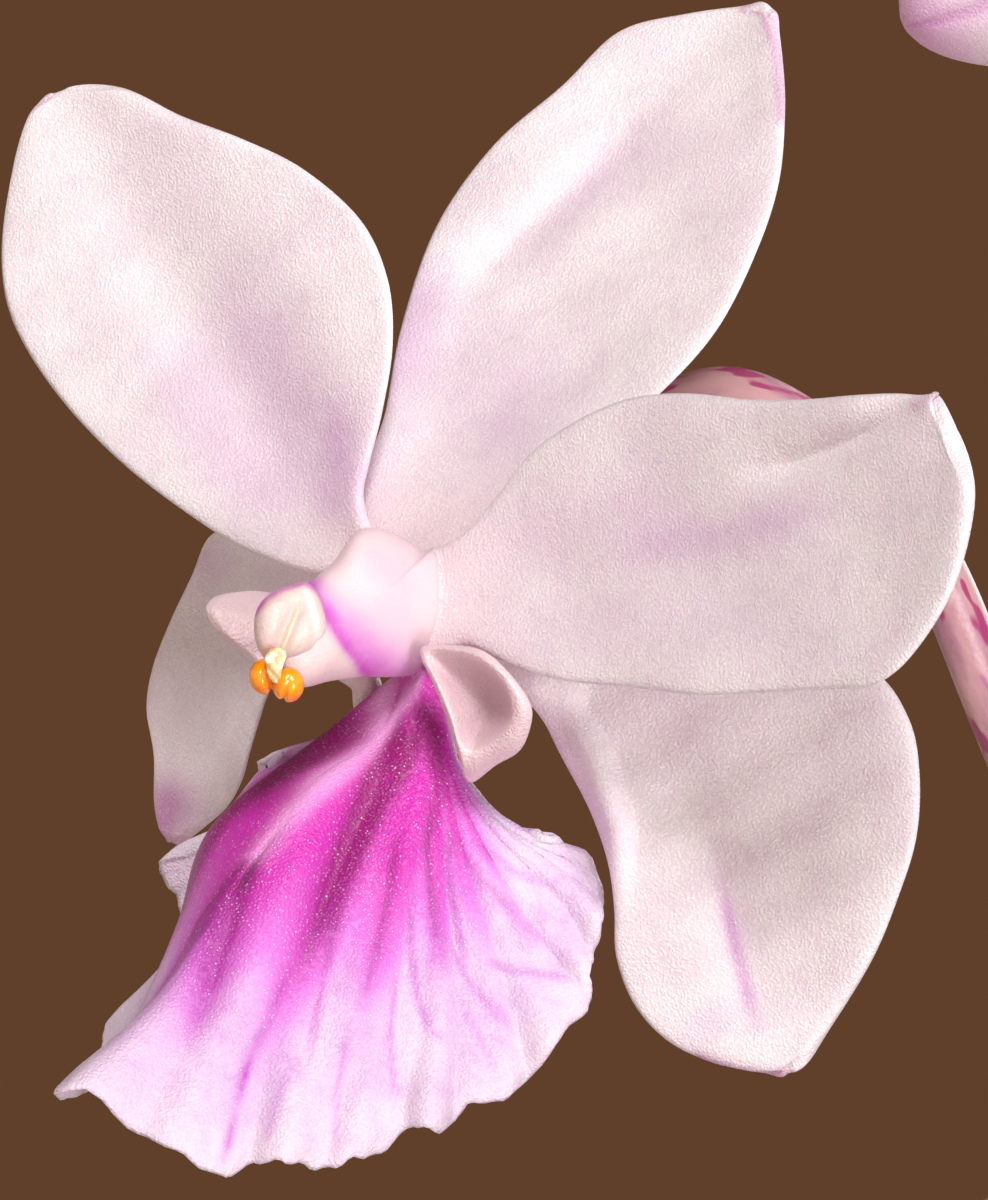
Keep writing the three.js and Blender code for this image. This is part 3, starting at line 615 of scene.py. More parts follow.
def root_shape(number):
    """The root's rod, begun inside the stem, with a swelling that wanders along and round it. tip
    is 1 at the end of a hanging root and falls to 0 over the growing length."""
    line = np.array(ROOT_LINES[number], float)
    inside = np.array([[line[0, 0] * 0.35, line[0, 1] * 0.35, line[0, 2] - 1.0]])
    line = np.concatenate([inside, line])
    radius = ROOT_RADIUS * np.linspace(1, ROOT_TAPER, len(line))

    def wander(run, turn):
        """A slow sine along the root and a quicker one that shifts as it goes round."""
        quick = 0.03 * np.sin(run * 0.83 + 1.7 * np.sin(turn + number))
        return 0.045 * np.sin(run * 0.31 + 2.0 * number) + quick

    shape = strand(np.column_stack([line, radius]), *ROOT_GRID, wander)
    run = shape["paint"]["run"]
    growing = np.clip(1 - (run.max() - run) / ROOT_TIP_LENGTH, 0, 1)
    shape["paint"]["tip"] = growing * (number in HANGING_ROOTS)
    return shape


def wrapped(skin, pitch):
    """A place for patterns that go round a rod with no seam: the turn's cosine and sine, and the
    run times pitch."""
    run = skin.add("Math", {0: skin.painted("run"), 1: pitch}, operation="MULTIPLY").outputs[0]
    axes = {"X": skin.painted("turn_x"), "Y": skin.painted("turn_y"), "Z": run}
    return skin.add("CombineXYZ", axes).outputs[0]


def root_material():
    """Papery grey-white skin with fine cracks along it and buff stains; green where it grows."""
    skin = Finish("papery_root_skin", Roughness=0.82, Specular_IOR_Level=0.3)
    cracks = skin.noise(7.0, 5.0, spot=wrapped(skin, 0.09))
    tip = skin.painted("tip")
    skin.mottle(skin.noise(120.0, 4.0), 0.36, 0.66, srgb(198, 196, 182), srgb(158, 156, 134))
    skin.stain(cracks, 0.52, 0.68, 0.7, srgb(128, 124, 98))
    skin.stain(skin.noise(55.0, 4.0), 0.56, 0.74, 0.55, srgb(120, 92, 62))
    skin.stain(tip, 0.1, 0.75, 1.0, srgb(120, 138, 54))
    skin.stain(tip, 0.8, 1.0, 0.8, srgb(150, 96, 60))
    skin.bump(cracks, 0.0003, 0.6)
    return skin.done()


root_skin = root_material()
for number in range(len(ROOT_LINES)):
    node = f"root_{number + 1}"
    add_piece(f"{node}_strand", root_shape(number), root_skin, [node])

# Leaves
# Narrow, thick, leathery leaves folded to a channel, in two ranks. Each clasps the stem with a
# sheath, arches out and droops to an unequal point. Pale keel below, fine lines along it.
LEAF_THICKNESS = 2.3
LEAF_MARGIN_THICKNESS = 0.8
LEAF_START_RADIUS = STEM_RADIUS + 0.85
LEAF_FOLD_ROUNDING = 0.5
LEAF_GRID = (21, 120)
SHEATH_GRID = (33, 24)
SHEATH_LENGTH = 15.0
SHEATH_THICKNESS = 0.9
SHEATH_CLEARANCE = 0.35
SHEATH_FOOT_SPREAD = math.radians(125)
SHEATH_TOP_SPREAD = math.radians(38)
# Foot height, heading in degrees, length, rise, droop and width of each.
LEAVES = [
    [96, 184, 140, 58, 84, 9],
    [100, -6, 160, 70, 92, 9.5],
    [107, 171, 180, 92, 96, 10],
    [111, 8, 185, 98, 92, 10],
    [118, 191, 165, 106, 62, 9.5],
    [122, -13, 150, 98, 50, 9.5],
    [129, 164, 105, 86, 22, 8.5],
    [132.5, 18, 78, 66, 10, 7.5],
]


def grid(across, along):
    """Shares across (u) and along (v) from 0 to 1, as two arrays of that many rows and columns."""
    return np.meshgrid(np.linspace(0, 1, across), np.linspace(0, 1, along), indexing="ij")


def normals(sheet):
    """The unit normal at each point of a sheet[across, along]."""
    return unit(np.cross(np.gradient(sheet, axis=0), np.gradient(sheet, axis=1)))


def blade(middle, half, **paint):
    """Closed skin on both sides of the sheet middle[across, along]: each point is moved half out
    along the sheet's normal, and half back. Half is nothing along the four edges, where the two
    sides share their points."""
    across, along = middle.shape[:2]
    inner = (slice(1, -1), slice(1, -1))
    thick = np.zeros((across, along, 1))
    thick[inner] = np.broadcast_to(half, (across, along))[inner][..., None]
    off = normals(middle) * thick
    front = np.arange(across * along).reshape(across, along)
    back = front.copy()
    back[inner] = across * along + np.arange((across - 2) * (along - 2)).reshape(across - 2, along - 2)
    sides = [
        np.stack([side[:-1, :-1], side[1:, :-1], side[1:, 1:], side[:-1, 1:]], axis=-1).reshape(-1, 4)
        for side in (front, back)
    ]
    painted = {}
    for title, value in paint.items():
        value = np.broadcast_to(value, (across, along))
        painted[title] = np.concatenate([value.ravel(), value[inner].ravel()])
    return {
        "points": np.concatenate([(middle + off).reshape(-1, 3), (middle - off)[inner].reshape(-1, 3)]),
        "quads": np.concatenate([sides[0], sides[1][:, ::-1]]),
        "triangles": np.zeros((0, 3), int),
        "paint": painted,
    }


def leaf_blade(foot_z, heading, length, rise, droop, width):
    """Runs out along its heading as 0.86v + 0.14v^2 of its length while its height goes as
    rise (2.2v - 1.2v^2) - droop v^3, and its width as 0.72 + 0.5v - 1.12v^4. Its halves fold up
    from the keel by three quarters of their width at the foot and half at the tip, square to the
    way it runs."""
    u, v = grid(*LEAF_GRID)
    angle = math.radians(heading)
    reach = LEAF_START_RADIUS + length * (0.86 * v + 0.14 * v * v)
    height = foot_z + rise * (2.2 * v - 1.2 * v * v) - droop * v ** 3
    half_width = width / 2 * (0.72 + 0.5 * v - 1.12 * v ** 4)
    side = (u - 0.5) * 2 * half_width
    fold = np.hypot(side, LEAF_FOLD_ROUNDING) - LEAF_FOLD_ROUNDING
    slope = (rise * (2.2 - 2.4 * v) - 3 * droop * v * v) / (length * (0.86 + 0.28 * v))
    lean = fold * (0.75 - 0.25 * v) / np.hypot(1, slope)
    along = reach - lean * slope
    sideways = side + 0.35 * np.sin(v * 9 + heading) * np.sin(np.pi * v)
    x = along * math.cos(angle) - sideways * math.sin(angle)
    y = along * math.sin(angle) + sideways * math.cos(angle)
    middle = np.stack([x, y, height + lean], axis=-1)
    share = np.abs(2 * u - 1)
    thick = LEAF_THICKNESS + (LEAF_MARGIN_THICKNESS - LEAF_THICKNESS) * share
    half = thick / 2 * np.sqrt(1 - share ** 8) * np.sqrt(np.clip((1 - v) * 14, 0, 1))
    return blade(middle[::-1], half[::-1], across=side[::-1], run=length * v[::-1])


def leaf_sheath(foot_z, heading):
    """Wraps the stem under the blade: round the stem by the foot spread each way at its foot,
    narrowing to the top spread as v^1.6, a little further out and higher where the blade leaves."""
    u, v = grid(*SHEATH_GRID)
    spread = SHEATH_FOOT_SPREAD + (SHEATH_TOP_SPREAD - SHEATH_FOOT_SPREAD) * v ** 1.6
    angle = math.radians(heading) + (u - 0.5) * 2 * spread
    away = np.abs(u - 0.5) * 2
    radius = STEM_RADIUS + SHEATH_CLEARANCE + 1.1 * v ** 2 * (1 - 0.4 * away)
    height = foot_z - SHEATH_LENGTH + (SHEATH_LENGTH + 2.4) * v + 1.5 * away * v
    middle = np.stack([radius * np.cos(angle), radius * np.sin(angle), height], axis=-1)
    ends = np.clip(v * 8, 0, 1) * np.clip((1 - v) * 5, 0, 1)
    half = SHEATH_THICKNESS / 2 * np.sqrt((1 - away ** 6) * ends)
    return blade(middle, half, across=(u - 0.5) * 12, run=v * 0.1)


def leaf_material():
    """Deep green, paler towards the keel, margin and foot, with fine lines along it, a waxy gloss
    and a few corky specks."""
    leaf = Finish(
        "leathery_leaf", Roughness=0.42, Specular_IOR_Level=0.45, Coat_Weight=0.12, Coat_Roughness=0.35
    )
    across, run = leaf.painted("across"), leaf.painted("run")
    drawn_out = leaf.add("Math", {0: run, 1: 0.03}, operation="MULTIPLY").outputs[0]
    along = leaf.add("CombineXYZ", {"X": across, "Y": drawn_out, "Z": 0.0}).outputs[0]
    lines = leaf.noise(2.6, 4.0, spot=along)
    from_keel = leaf.add("Math", {0: across}, operation="ABSOLUTE").outputs[0]
    leaf.mottle(leaf.noise(42.0, 4.0), 0.34, 0.68, srgb(42, 74, 26), srgb(70, 102, 38))
    leaf.stain(lines, 0.46, 0.66, 0.5, srgb(98, 124, 54))
    leaf.cover(leaf.eased(from_keel, 0.15, 0.8, 0.55, 0.0), srgb(134, 152, 78))
    leaf.stain(from_keel, 4.0, 4.8, 0.45, srgb(120, 134, 66))
    leaf.cover(leaf.eased(run, 1.0, 14.0, 0.55, 0.0), srgb(146, 150, 92))
    distance, picked = leaf.cells(210.0)
    dot = leaf.product(leaf.eased(distance, 0.06, 0.14, 1.0, 0.0), leaf.eased(picked["Red"], 0.9, 0.93))
    leaf.cover(leaf.product(dot, 0.7), srgb(150, 128, 78))
    leaf.bump(lines, 0.00025, 0.5)
    return leaf.done()


leaf_green = leaf_material()
for number, row in enumerate(LEAVES):
    node = f"leaf_{number + 1}"
    shape = together([leaf_blade(*row), leaf_sheath(row[0], row[1])])
    add_piece(f"{node}_blade", shape, leaf_green, [node])

# Flower spike
# One stalk from between two leaf bases, leaning to the right as it rises, a little zigzag at each
# flower. A small pointed bract clasps it under every flower stalk, and three empty ones below.
SPIKE_RADIUS = 1.7
SPIKE_TAPER = 0.6
SPIKE_GRID = (24, 380)
# Places up the spike.
SPIKE_PLACES = [
    [4.7, 4.9, 104],
    [8, 11.5, 122],
    [14, 14.5, 158],
    [22, 13, 200],
    [28.2, 11, 236],
    [32, 9.5, 262],
    [34.6, 9, 290],
    [36, 8, 316],
    [36.5, 7, 338],
]
SPIKE_LINE = np.column_stack([
    SPIKE_PLACES,
    SPIKE_RADIUS * np.linspace(1, SPIKE_TAPER, len(SPIKE_PLACES)),
])
BRACT_GRID = (25, 22)
BRACT_LENGTH = 5.5
BRACT_THICKNESS = 0.44
BRACT_CLEARANCE = 0.12
BRACT_FOOT_SPREAD = math.radians(105)
NODE_SWELLING = 0.125
NODE_REACH = 2.0
# Height up the spike and the side of the bract: 1 is to the left, as seen from the front.
BRACTS = [
    (146, 1), (168, -1), (190, 1),
    (214, 1), (238, -1), (261, 1), (284, -1), (298, 1), (318, -1), (332, 1),
]
spike_rows = smooth(SPIKE_LINE, np.linspace(0, 1, 1601))


def spike_at(height):
    """Middle point and radius of the spike at a height, read off its smooth curve."""
    return np.array([np.interp(height, spike_rows[:, 2], spike_rows[:, i]) for i in range(4)])


def bract_shape(height, side):
    """A scale wrapped round the spike: it spans the foot spread each way at its foot and narrows as
    (1-v)^0.6 to a point that stands off by a quarter of its length."""
    u, v = grid(*BRACT_GRID)
    x, y, z, radius = spike_at(height)
    spread = BRACT_FOOT_SPREAD * (1 - 0.97 * v) ** 0.6
    heading = math.pi if side > 0 else 0.0
    angle = heading + (u - 0.5) * 2 * spread
    reach = radius + BRACT_CLEARANCE + 0.25 * BRACT_LENGTH * v ** 2
    places = smooth(SPIKE_LINE, np.linspace(0, 1, 41))
    step = np.gradient(places, axis=0)
    lean = np.interp(height, places[:, 2], step[:, 0] / step[:, 2])
    rise = BRACT_LENGTH * (v - 0.35)
    middle = np.stack([
        x + lean * rise + reach * np.cos(angle),
        y + reach * np.sin(angle),
        z + rise,
    ], axis=-1)
    ends = np.clip((1 - v) * 8, 0, 1) * np.clip(v * 8, 0, 1)
    half = BRACT_THICKNESS / 2 * np.sqrt((1 - np.abs(2 * u - 1) ** 4) * ends)
    return blade(middle, half)


def node_swelling(run, turn):
    """Thickens the spike at each bract as exp(-(distance/reach)^2), counting the run from its foot."""
    places = np.interp([height for height, side in BRACTS], spike_rows[:, 2], lengths(spike_rows[:, :3]))
    near = np.exp(-((run[..., None] - places) / NODE_REACH) ** 2).sum(axis=-1)
    return NODE_SWELLING * near + 0 * turn


def spike_material():
    """Olive green under a fine purple-brown speckle."""
    spike = Finish("speckled_spike", Roughness=0.5)
    speckle = spike.noise(1500.0, 3.0, (1.0, 1.0, 0.35))
    spike.mottle(spike.noise(150.0, 4.0), 0.35, 0.65, srgb(112, 118, 58), srgb(142, 134, 78))
    spike.stain(speckle, 0.5, 0.62, 0.8, srgb(104, 56, 66))
    spike.bump(speckle, 0.0001, 0.4)
    return spike.done()


def bract_material():
    """Dry parchment brown with darker lines up to the point."""
    bract = Finish("dry_bract", Roughness=0.7)
    lines = bract.noise(1300.0, 4.0, (1.0, 1.0, 0.12))
    bract.mottle(lines, 0.4, 0.62, srgb(150, 124, 84), srgb(108, 84, 52))
    bract.bump(lines, 0.0001, 0.5)
    return bract.done()


spike_shape = strand(SPIKE_LINE, *SPIKE_GRID, node_swelling)
add_piece("flower_spike_stalk", spike_shape, spike_material(), ["flower_spike"])
bract_shapes = together([bract_shape(height, side) for height, side in BRACTS])
add_piece("flower_spike_bracts", bract_shapes, bract_material())

# Flower stalks
# Each flower hangs from a stalk that is also its seed case: ribbed, pinkish, streaked with magenta.
# It leaves the spike at a bract, arches up behind the flower and turns down into its back.
STALK_GRID = (30, 170)
STALK_FOOT_REACH = np.array([1.8, -1.35, 0.0])
STALK_FOOT_RADIUS = 0.9
STALK_CLEARANCE = 1.0
OVARY_RIBS = 6
OVARY_RIB_SHARE = 0.07
# Rows of x, y and depth as seen, in millimetres, and radius, from the flower's back to the spike.
PEDICEL_LINE = [
    [0.3, -0.1, -0.2, 1.5],
    [1.1, -0.2, -1.5, 1.75],
    [2.0, 0.5, -3.2, 1.3],
    [3.9, 2.5, -6.2, 1.1],
    [6.6, 5.2, -10.0, 1.05],
    [10.0, 6.5, -13.0, 1.0],
    [13.2, 4.9, -14.5, 1.0],
    [16.2, 1.9, -14.0, 1.0],
    [18.1, -2.2, -12.5, 1.0],
    [20.1, -7.6, -11.2, 0.95],
    [21.2, -13.2, -10.0, 0.9],
    [20.8, -17.0, -9.2, 0.9],
]
# The other flowers: height of the stalk's foot up the spike, side (1 is left, -1 its mirror image
# on the right), turn about the upright in degrees, and scale.
OTHER_FLOWERS = {
    "flower_2": (284, -1, 6, 0.97),
    "flower_3": (238, -1, -8, 1.02),
    "flower_4": (214, 1, -6, 1.0),
}


def translation(offset):
    """The matrix that moves by the offset."""
    matrix = np.eye(4)
    matrix[:3, 3] = offset
    return matrix


def spike_seat(height, side, turn_degrees, scale):
    """The matrix that puts a flower or bud at a height up the spike, left of the spike's middle
    (side 1) or right: it scales, mirrors for the right, and turns about the upright."""
    x, y, z, radius = spike_at(height)
    angle = math.radians(turn_degrees)
    matrix = np.eye(4)
    matrix[:2, :2] = [[math.cos(angle), -math.sin(angle)], [math.sin(angle), math.cos(angle)]]
    foot = translation([x - side * (radius + STALK_CLEARANCE), y, z])
    return foot @ matrix @ np.diag([side * scale, scale, scale, 1.0])


def placed(shape, matrix):
    """The shape moved by the matrix; its faces turn over where the matrix is a mirror."""
    order = -1 if np.linalg.det(matrix[:3, :3]) < 0 else 1
    return {
        "points": shape["points"] @ matrix[:3, :3].T + matrix[:3, 3],
        "quads": shape["quads"][:, ::order],
        "triangles": shape["triangles"][:, ::order],
        "paint": shape["paint"],
    }


look_matrix = np.eye(4)
look_matrix[:3, :3] = LOOK_TO_PLANT
stalk_rows = np.array(PEDICEL_LINE, float)
STALK_LINE = np.column_stack([from_view(stalk_rows[:, :3]), stalk_rows[:, 3]])
STALK_FOOT = STALK_LINE[-1, :3]
FLOWER_SEATS = {"flower_1": translation(FLOWER_CENTRE) @ look_matrix}
for name, row in OTHER_FLOWERS.items():
    FLOWER_SEATS[name] = spike_seat(*row) @ look_matrix @ translation(-STALK_FOOT)


def ovary_ribs(run, turn):
    """Six low ribs along the first 12 mm, fading into a round stalk, and a slow wander."""
    fade = np.clip(1 - run / 14.0, 0, 1) * np.clip(run / 3.0, 0, 1)
    return OVARY_RIB_SHARE * fade * np.cos(OVARY_RIBS * turn) + 0.025 * np.sin(run * 0.9 + turn)


def stalk_material():
    """Pinkish tan with short magenta streaks along it, wrapped round without a seam."""
    stalk = Finish(
        "streaked_stalk", Roughness=0.42, Subsurface_Weight=0.25, Subsurface_Scale=0.0006,
        Subsurface_Radius=(1.0, 0.45, 0.55)
    )
    round_it = wrapped(stalk, 0.28)
    clouds = stalk.noise(0.9, 3.0, spot=round_it)
    stalk.mottle(clouds, 0.35, 0.65, srgb(192, 148, 150), srgb(166, 116, 134))
    stalk.stain(stalk.noise(1.9, 1.0, spot=round_it), 0.54, 0.62, 0.85, srgb(152, 26, 98))
    stalk.bump(stalk.noise(4000.0, 2.0), 0.00005, 0.5)
    return stalk.done()


foot_inside = np.array([[*(STALK_FOOT + STALK_FOOT_REACH), STALK_FOOT_RADIUS]])
stalk_shape = strand(np.concatenate([STALK_LINE, foot_inside]), *STALK_GRID, ovary_ribs)
stalk_flesh = stalk_material()
for name, seat in FLOWER_SEATS.items():
    node = f"{name}_pedicel"
    add_piece(f"{node}_stalk", placed(stalk_shape, seat), stalk_flesh, [node])

# Sepals and petals
# Five soft blades, white flushed with lilac, joined at the foot of the column. Their skin is
# covered with tiny domed cells that glitter; the glints and the shade between the cells are
# painted into the colour. Each is drawn from its outline in the photograph.
TEPAL_THICKNESS = 0.62
CELLS_PER_METRE = 9500.0
# The nearest flower fills the picture, so it has the finer grids.
TEPAL_GRIDS = {True: (97, 121), False: (37, 49)}
# Stations from foot to tip: left margin x, y and right margin x, y, in millimetres as seen. lean is
# the plane's depth for each millimetre right and up, and foot and cup are depths.
TEPALS = {
    "dorsal_sepal": {
        "stations": [
            [-2.0, 0.9, 2.4, 0.4],
            [-2.25, 2.3, 2.4, 1.7],
            [-2.15, 4.0, 3.7, 3.2],
            [-1.5, 5.9, 5.4, 4.8],
            [-0.95, 8.8, 7.6, 6.5],
            [0.2, 12.1, 9.5, 8.6],
            [2.1, 14.8, 10.8, 11.1],
            [4.4, 16.8, 11.6, 13.5],
            [6.3, 18.6, 11.8, 15.9],
            [8.6, 19.2, 11.7, 17.7],
            [10.6, 19.45, 11.5, 18.9],
            [11.2, 19.35, 11.35, 19.2],
        ],
        "lean": (0.81, -0.71),
        "foot": -0.2,
        "cup": -0.9,
    },
    "left_petal": {
        "stations": [
            [-1.0, 0.2, -0.9, 0.9],
            [-2.2, 0.6, -1.9, 1.8],
            [-3.9, 0.6, -2.3, 3.1],
            [-6.2, 1.4, -2.05, 4.3],
            [-8.0, 2.5, -1.6, 6.0],
            [-10.1, 4.1, -1.25, 8.1],
            [-11.9, 5.9, -1.4, 10.3],
            [-13.3, 7.8, -2.3, 12.3],
            [-14.1, 9.6, -4.2, 14.0],
            [-14.25, 11.7, -6.2, 15.0],
            [-13.85, 14.2, -8.3, 15.8],
            [-13.3, 15.9, -10.2, 16.7],
            [-12.6, 16.5, -12.1, 16.7],
        ],
        "lean": (0.82, -0.22),
        "foot": 0.0,
        "cup": -0.8,
    },
    "right_petal": {
        "stations": [
            [-1.5, 0.7, -1.2, -2.1],
            [0.0, 1.3, 0.3, -2.1],
            [1.1, 1.9, 1.3, -1.85],
            [2.2, 3.1, 2.7, -2.5],
            [3.4, 4.6, 4.4, -3.0],
            [5.0, 5.7, 6.8, -3.25],
            [6.7, 6.4, 9.0, -3.5],
            [8.6, 6.55, 11.2, -3.4],
            [10.6, 6.35, 13.2, -3.3],
            [12.4, 6.35, 14.7, -3.2],
            [14.2, 6.5, 16.0, -2.2],
            [15.5, 6.55, 17.4, 0.1],
            [16.3, 6.5, 18.05, 3.0],
            [16.7, 6.55, 17.5, 4.8],
            [16.75, 6.6, 16.95, 6.3],
        ],
        "lean": (1.13, -0.31),
        "foot": 0.1,
        "cup": -0.9,
    },
    "left_lateral_sepal": {
        "stations": [
            [-0.6, -1.4, -0.9, 0.2],
            [-1.2, -2.1, -1.5, -0.1],
            [-2.6, -2.3, -3.6, 1.2],
            [-4.2, -2.4, -5.8, 2.0],
            [-5.0, -2.8, -7.2, 1.9],
            [-5.45, -3.5, -7.9, 0.5],
            [-5.75, -4.4, -8.6, -1.0],
            [-6.05, -5.4, -9.2, -2.6],
            [-6.3, -6.3, -9.4, -4.0],
            [-6.8, -7.2, -9.15, -5.5],
            [-7.6, -7.9, -9.1, -7.0],
            [-8.2, -8.3, -8.9, -7.9],
            [-8.5, -8.45, -8.7, -8.35],
        ],
        "lean": (2.04, -0.18),
        "foot": 0.3,
        "cup": -0.5,
    },
    "right_lateral_sepal": {
        "stations": [
            [1.2, -0.9, 0.2, -1.9],
            [2.1, -1.2, 1.0, -2.5],
            [4.0, -1.0, 2.5, -3.05],
            [6.6, -0.9, 3.6, -4.1],
            [9.4, -1.1, 4.4, -5.6],
            [12.4, -1.7, 5.3, -7.3],
            [14.8, -2.7, 5.9, -9.0],
            [15.95, -4.3, 6.13, -10.6],
            [16.3, -6.1, 6.2, -12.2],
            [16.2, -8.2, 6.8, -13.8],
            [15.6, -10.2, 7.9, -15.0],
            [14.8, -12.1, 9.3, -15.7],
            [13.7, -14.0, 10.4, -15.95],
            [12.6, -15.5, 11.3, -16.1],
            [12.0, -15.95, 11.8, -16.1],
        ],
        "lean": (0.55, 0.07),
        "foot": -0.1,
        "cup": -0.4,
    },
}
# Folds in each blade: places in the photograph, width and height in millimetres.
FOLDS = {
    "dorsal_sepal": [
        ([(735, 40), (650, 120), (560, 210), (480, 290), (440, 380)], 0.75, -0.32),
        ([(600, 60), (520, 160), (455, 260)], 1.8, 0.16),
    ],
    "left_petal": [
        ([(80, 150), (170, 280), (260, 420), (330, 545)], 1.5, -0.3),
        ([(250, 180), (330, 300), (350, 430)], 1.3, 0.2),
    ],
    "right_petal": [
        ([(735, 478), (800, 462), (865, 435), (925, 403)], 0.55, -0.5),
        ([(760, 430), (830, 412), (900, 400)], 0.8, 0.25),
        ([(480, 590), (620, 585), (760, 580)], 1.6, -0.2),
    ],
    "left_lateral_sepal": [([(215, 560), (200, 650), (185, 780)], 1.0, -0.3)],
    "right_lateral_sepal": [
        ([(560, 686), (600, 760), (620, 830), (618, 930)], 0.4, 0.55),
        ([(425, 640), (455, 652), (500, 672), (545, 688), (590, 700)], 0.75, 0.95),
        ([(640, 720), (720, 860), (770, 1040)], 0.9, -0.3),
    ],
}
# Lilac flush on each blade, partly its own colour and partly painted shade: on the dorsal sepal
# the first line lies along its shaded lower left margin and the third along its groove, and on the
# right lateral sepal the first lies beside its turned-down rim. Places in the photograph, width in
# millimetres and strength.
LILAC_AND_PAINTED_SHADE = {
    "dorsal_sepal": [
        ([(440, 250), (410, 330), (385, 430)], 1.3, 0.35),
        ([(560, 330), (520, 420), (460, 520)], 1.6, 0.22),
        ([(700, 90), (600, 190), (500, 290)], 0.8, 0.18),
    ],
    "left_petal": [
        ([(230, 250), (290, 380), (330, 540)], 1.6, 0.42),
        ([(150, 330), (220, 440), (300, 550)], 1.2, 0.3),
        ([(345, 380), (350, 470), (335, 550)], 0.9, 0.4),
    ],
    "right_petal": [
        ([(600, 560), (720, 540), (880, 498)], 0.8, 0.4),
        ([(480, 560), (600, 520), (720, 490)], 1.3, 0.22),
        ([(500, 640), (650, 620), (800, 600)], 1.3, 0.15),
    ],
    "left_lateral_sepal": [([(200, 540), (230, 590)], 0.8, 0.35)],
    "right_lateral_sepal": [
        ([(530, 690), (570, 770), (600, 830), (606, 900)], 0.55, 0.5),
        ([(722, 860), (732, 920), (748, 985), (764, 1040)], 0.3, 0.75),
        ([(700, 1000), (730, 1040)], 1.0, 0.25),
    ],
}
# Purple tip of each blade: places in the photograph, width in millimetres and strength.
PURPLE_TIPS = {
    "dorsal_sepal": ([(745, 8), (770, 18), (780, 60), (784, 122)], 0.16, 0.5),
    "left_petal": ([(30, 112), (52, 94)], 0.16, 0.3),
    "right_petal": ([(922, 405), (935, 395)], 0.3, 0.3),
    "left_lateral_sepal": ([(160, 840), (176, 806)], 1.0, 0.85),
    "right_lateral_sepal": ([(700, 1058), (745, 1072), (786, 1076)], 0.24, 0.7),
}
# Share of a fold's or flush's length over which each of its ends dies away.
FOLD_FADE = 0.3
# The column that the blades run into: its outline in the photograph, the middle that its rings
# spread from in millimetres, the plane that the outline lies in (depth at the foot, for each
# millimetre right and for each up), and how far the front and the back stand off that plane.
COLUMN_FORM = {
    "outline": [
        (300, 588), (316, 577), (335, 560), (350, 538), (363, 528), (385, 530), (408, 541), (424, 551),
        (440, 546), (456, 560), (460, 590), (456, 620), (440, 642), (426, 660), (414, 674), (390, 677),
        (362, 677), (330, 681), (303, 687), (286, 676), (276, 650), (280, 612),
    ],
    "middle": (-1.9, -0.5),
    "plane": (-0.15, -0.8, -0.17),
    "front": 1.7,
    "back": 1.9,
    "fullness": 2.2,
}
COLUMN_OUTLINE_POINTS = 360
FLARED_BLADE = "right_petal"
FLARE = 0.7
FLARE_REACH = 0.75 * FLARE


def smooth_loop(rows, t):
    """The smooth curve round through all the rows and back to the first, at each t from 0 to 1."""
    rows = np.asarray(rows, float)
    count = len(rows)
    closed = np.concatenate([rows[-1:], rows, rows[:2]])
    return smooth(closed, (1 + np.asarray(t) * count) / (count + 2))


def column_front(x, y):
    """Depth of the column's front: off its plane by front (1 - r^fullness)^0.5, where r is the
    share of the way from the middle to the outline, and falling away steeply outside."""
    middle = np.array(COLUMN_FORM["middle"])
    turn = np.linspace(0, 1, COLUMN_OUTLINE_POINTS, endpoint=False)
    outline = from_photo(smooth_loop(COLUMN_FORM["outline"], turn)) - middle
    bearing = np.arctan2(y - middle[1], x - middle[0])
    bearings = np.arctan2(outline[:, 1], outline[:, 0])
    reach = np.interp(bearing, bearings, np.hypot(*outline.T), period=2 * np.pi)
    share = np.hypot(x - middle[0], y - middle[1]) / reach
    rise = np.sqrt(1 - np.minimum(share, 1) ** COLUMN_FORM["fullness"])
    level, by_x, by_y = COLUMN_FORM["plane"]
    fall = 20 * np.maximum(0, share - 1)
    return level + by_x * x + by_y * y + COLUMN_FORM["front"] * rise - fall


def near_line(x, y, places, width, fade=0.0):
    """1 on the line through the places of the photograph, falling off as exp(-(distance/width)^2);
    the distance is to the nearest point of the nearest stretch. With a fade, the line grows from
    nothing over that share of its length and dies away again over the same share of its end."""
    line = from_photo(places)
    distance = np.full(x.shape, np.inf)
    along = np.zeros(x.shape)
    for number, (start, end) in enumerate(zip(line[:-1], line[1:])):
        way = end - start
        share = np.clip(((x - start[0]) * way[0] + (y - start[1]) * way[1]) / (way @ way), 0, 1)
        apart = np.hypot(x - start[0] - share * way[0], y - start[1] - share * way[1])
        nearer = apart < distance
        distance = np.where(nearer, apart, distance)
        along = np.where(nearer, (number + share) / (len(line) - 1), along)
    mask = np.exp(-(distance / width) ** 2)
    if fade:
        mask = mask * np.clip(np.minimum(along, 1 - along) / fade, 0, 1)
    return mask


def near_lines(x, y, lines, fade):
    """Sum over the lines of strength times near_line; a line is its places, width and strength."""
    return sum(strength * near_line(x, y, places, width, fade) for places, width, strength in lines)


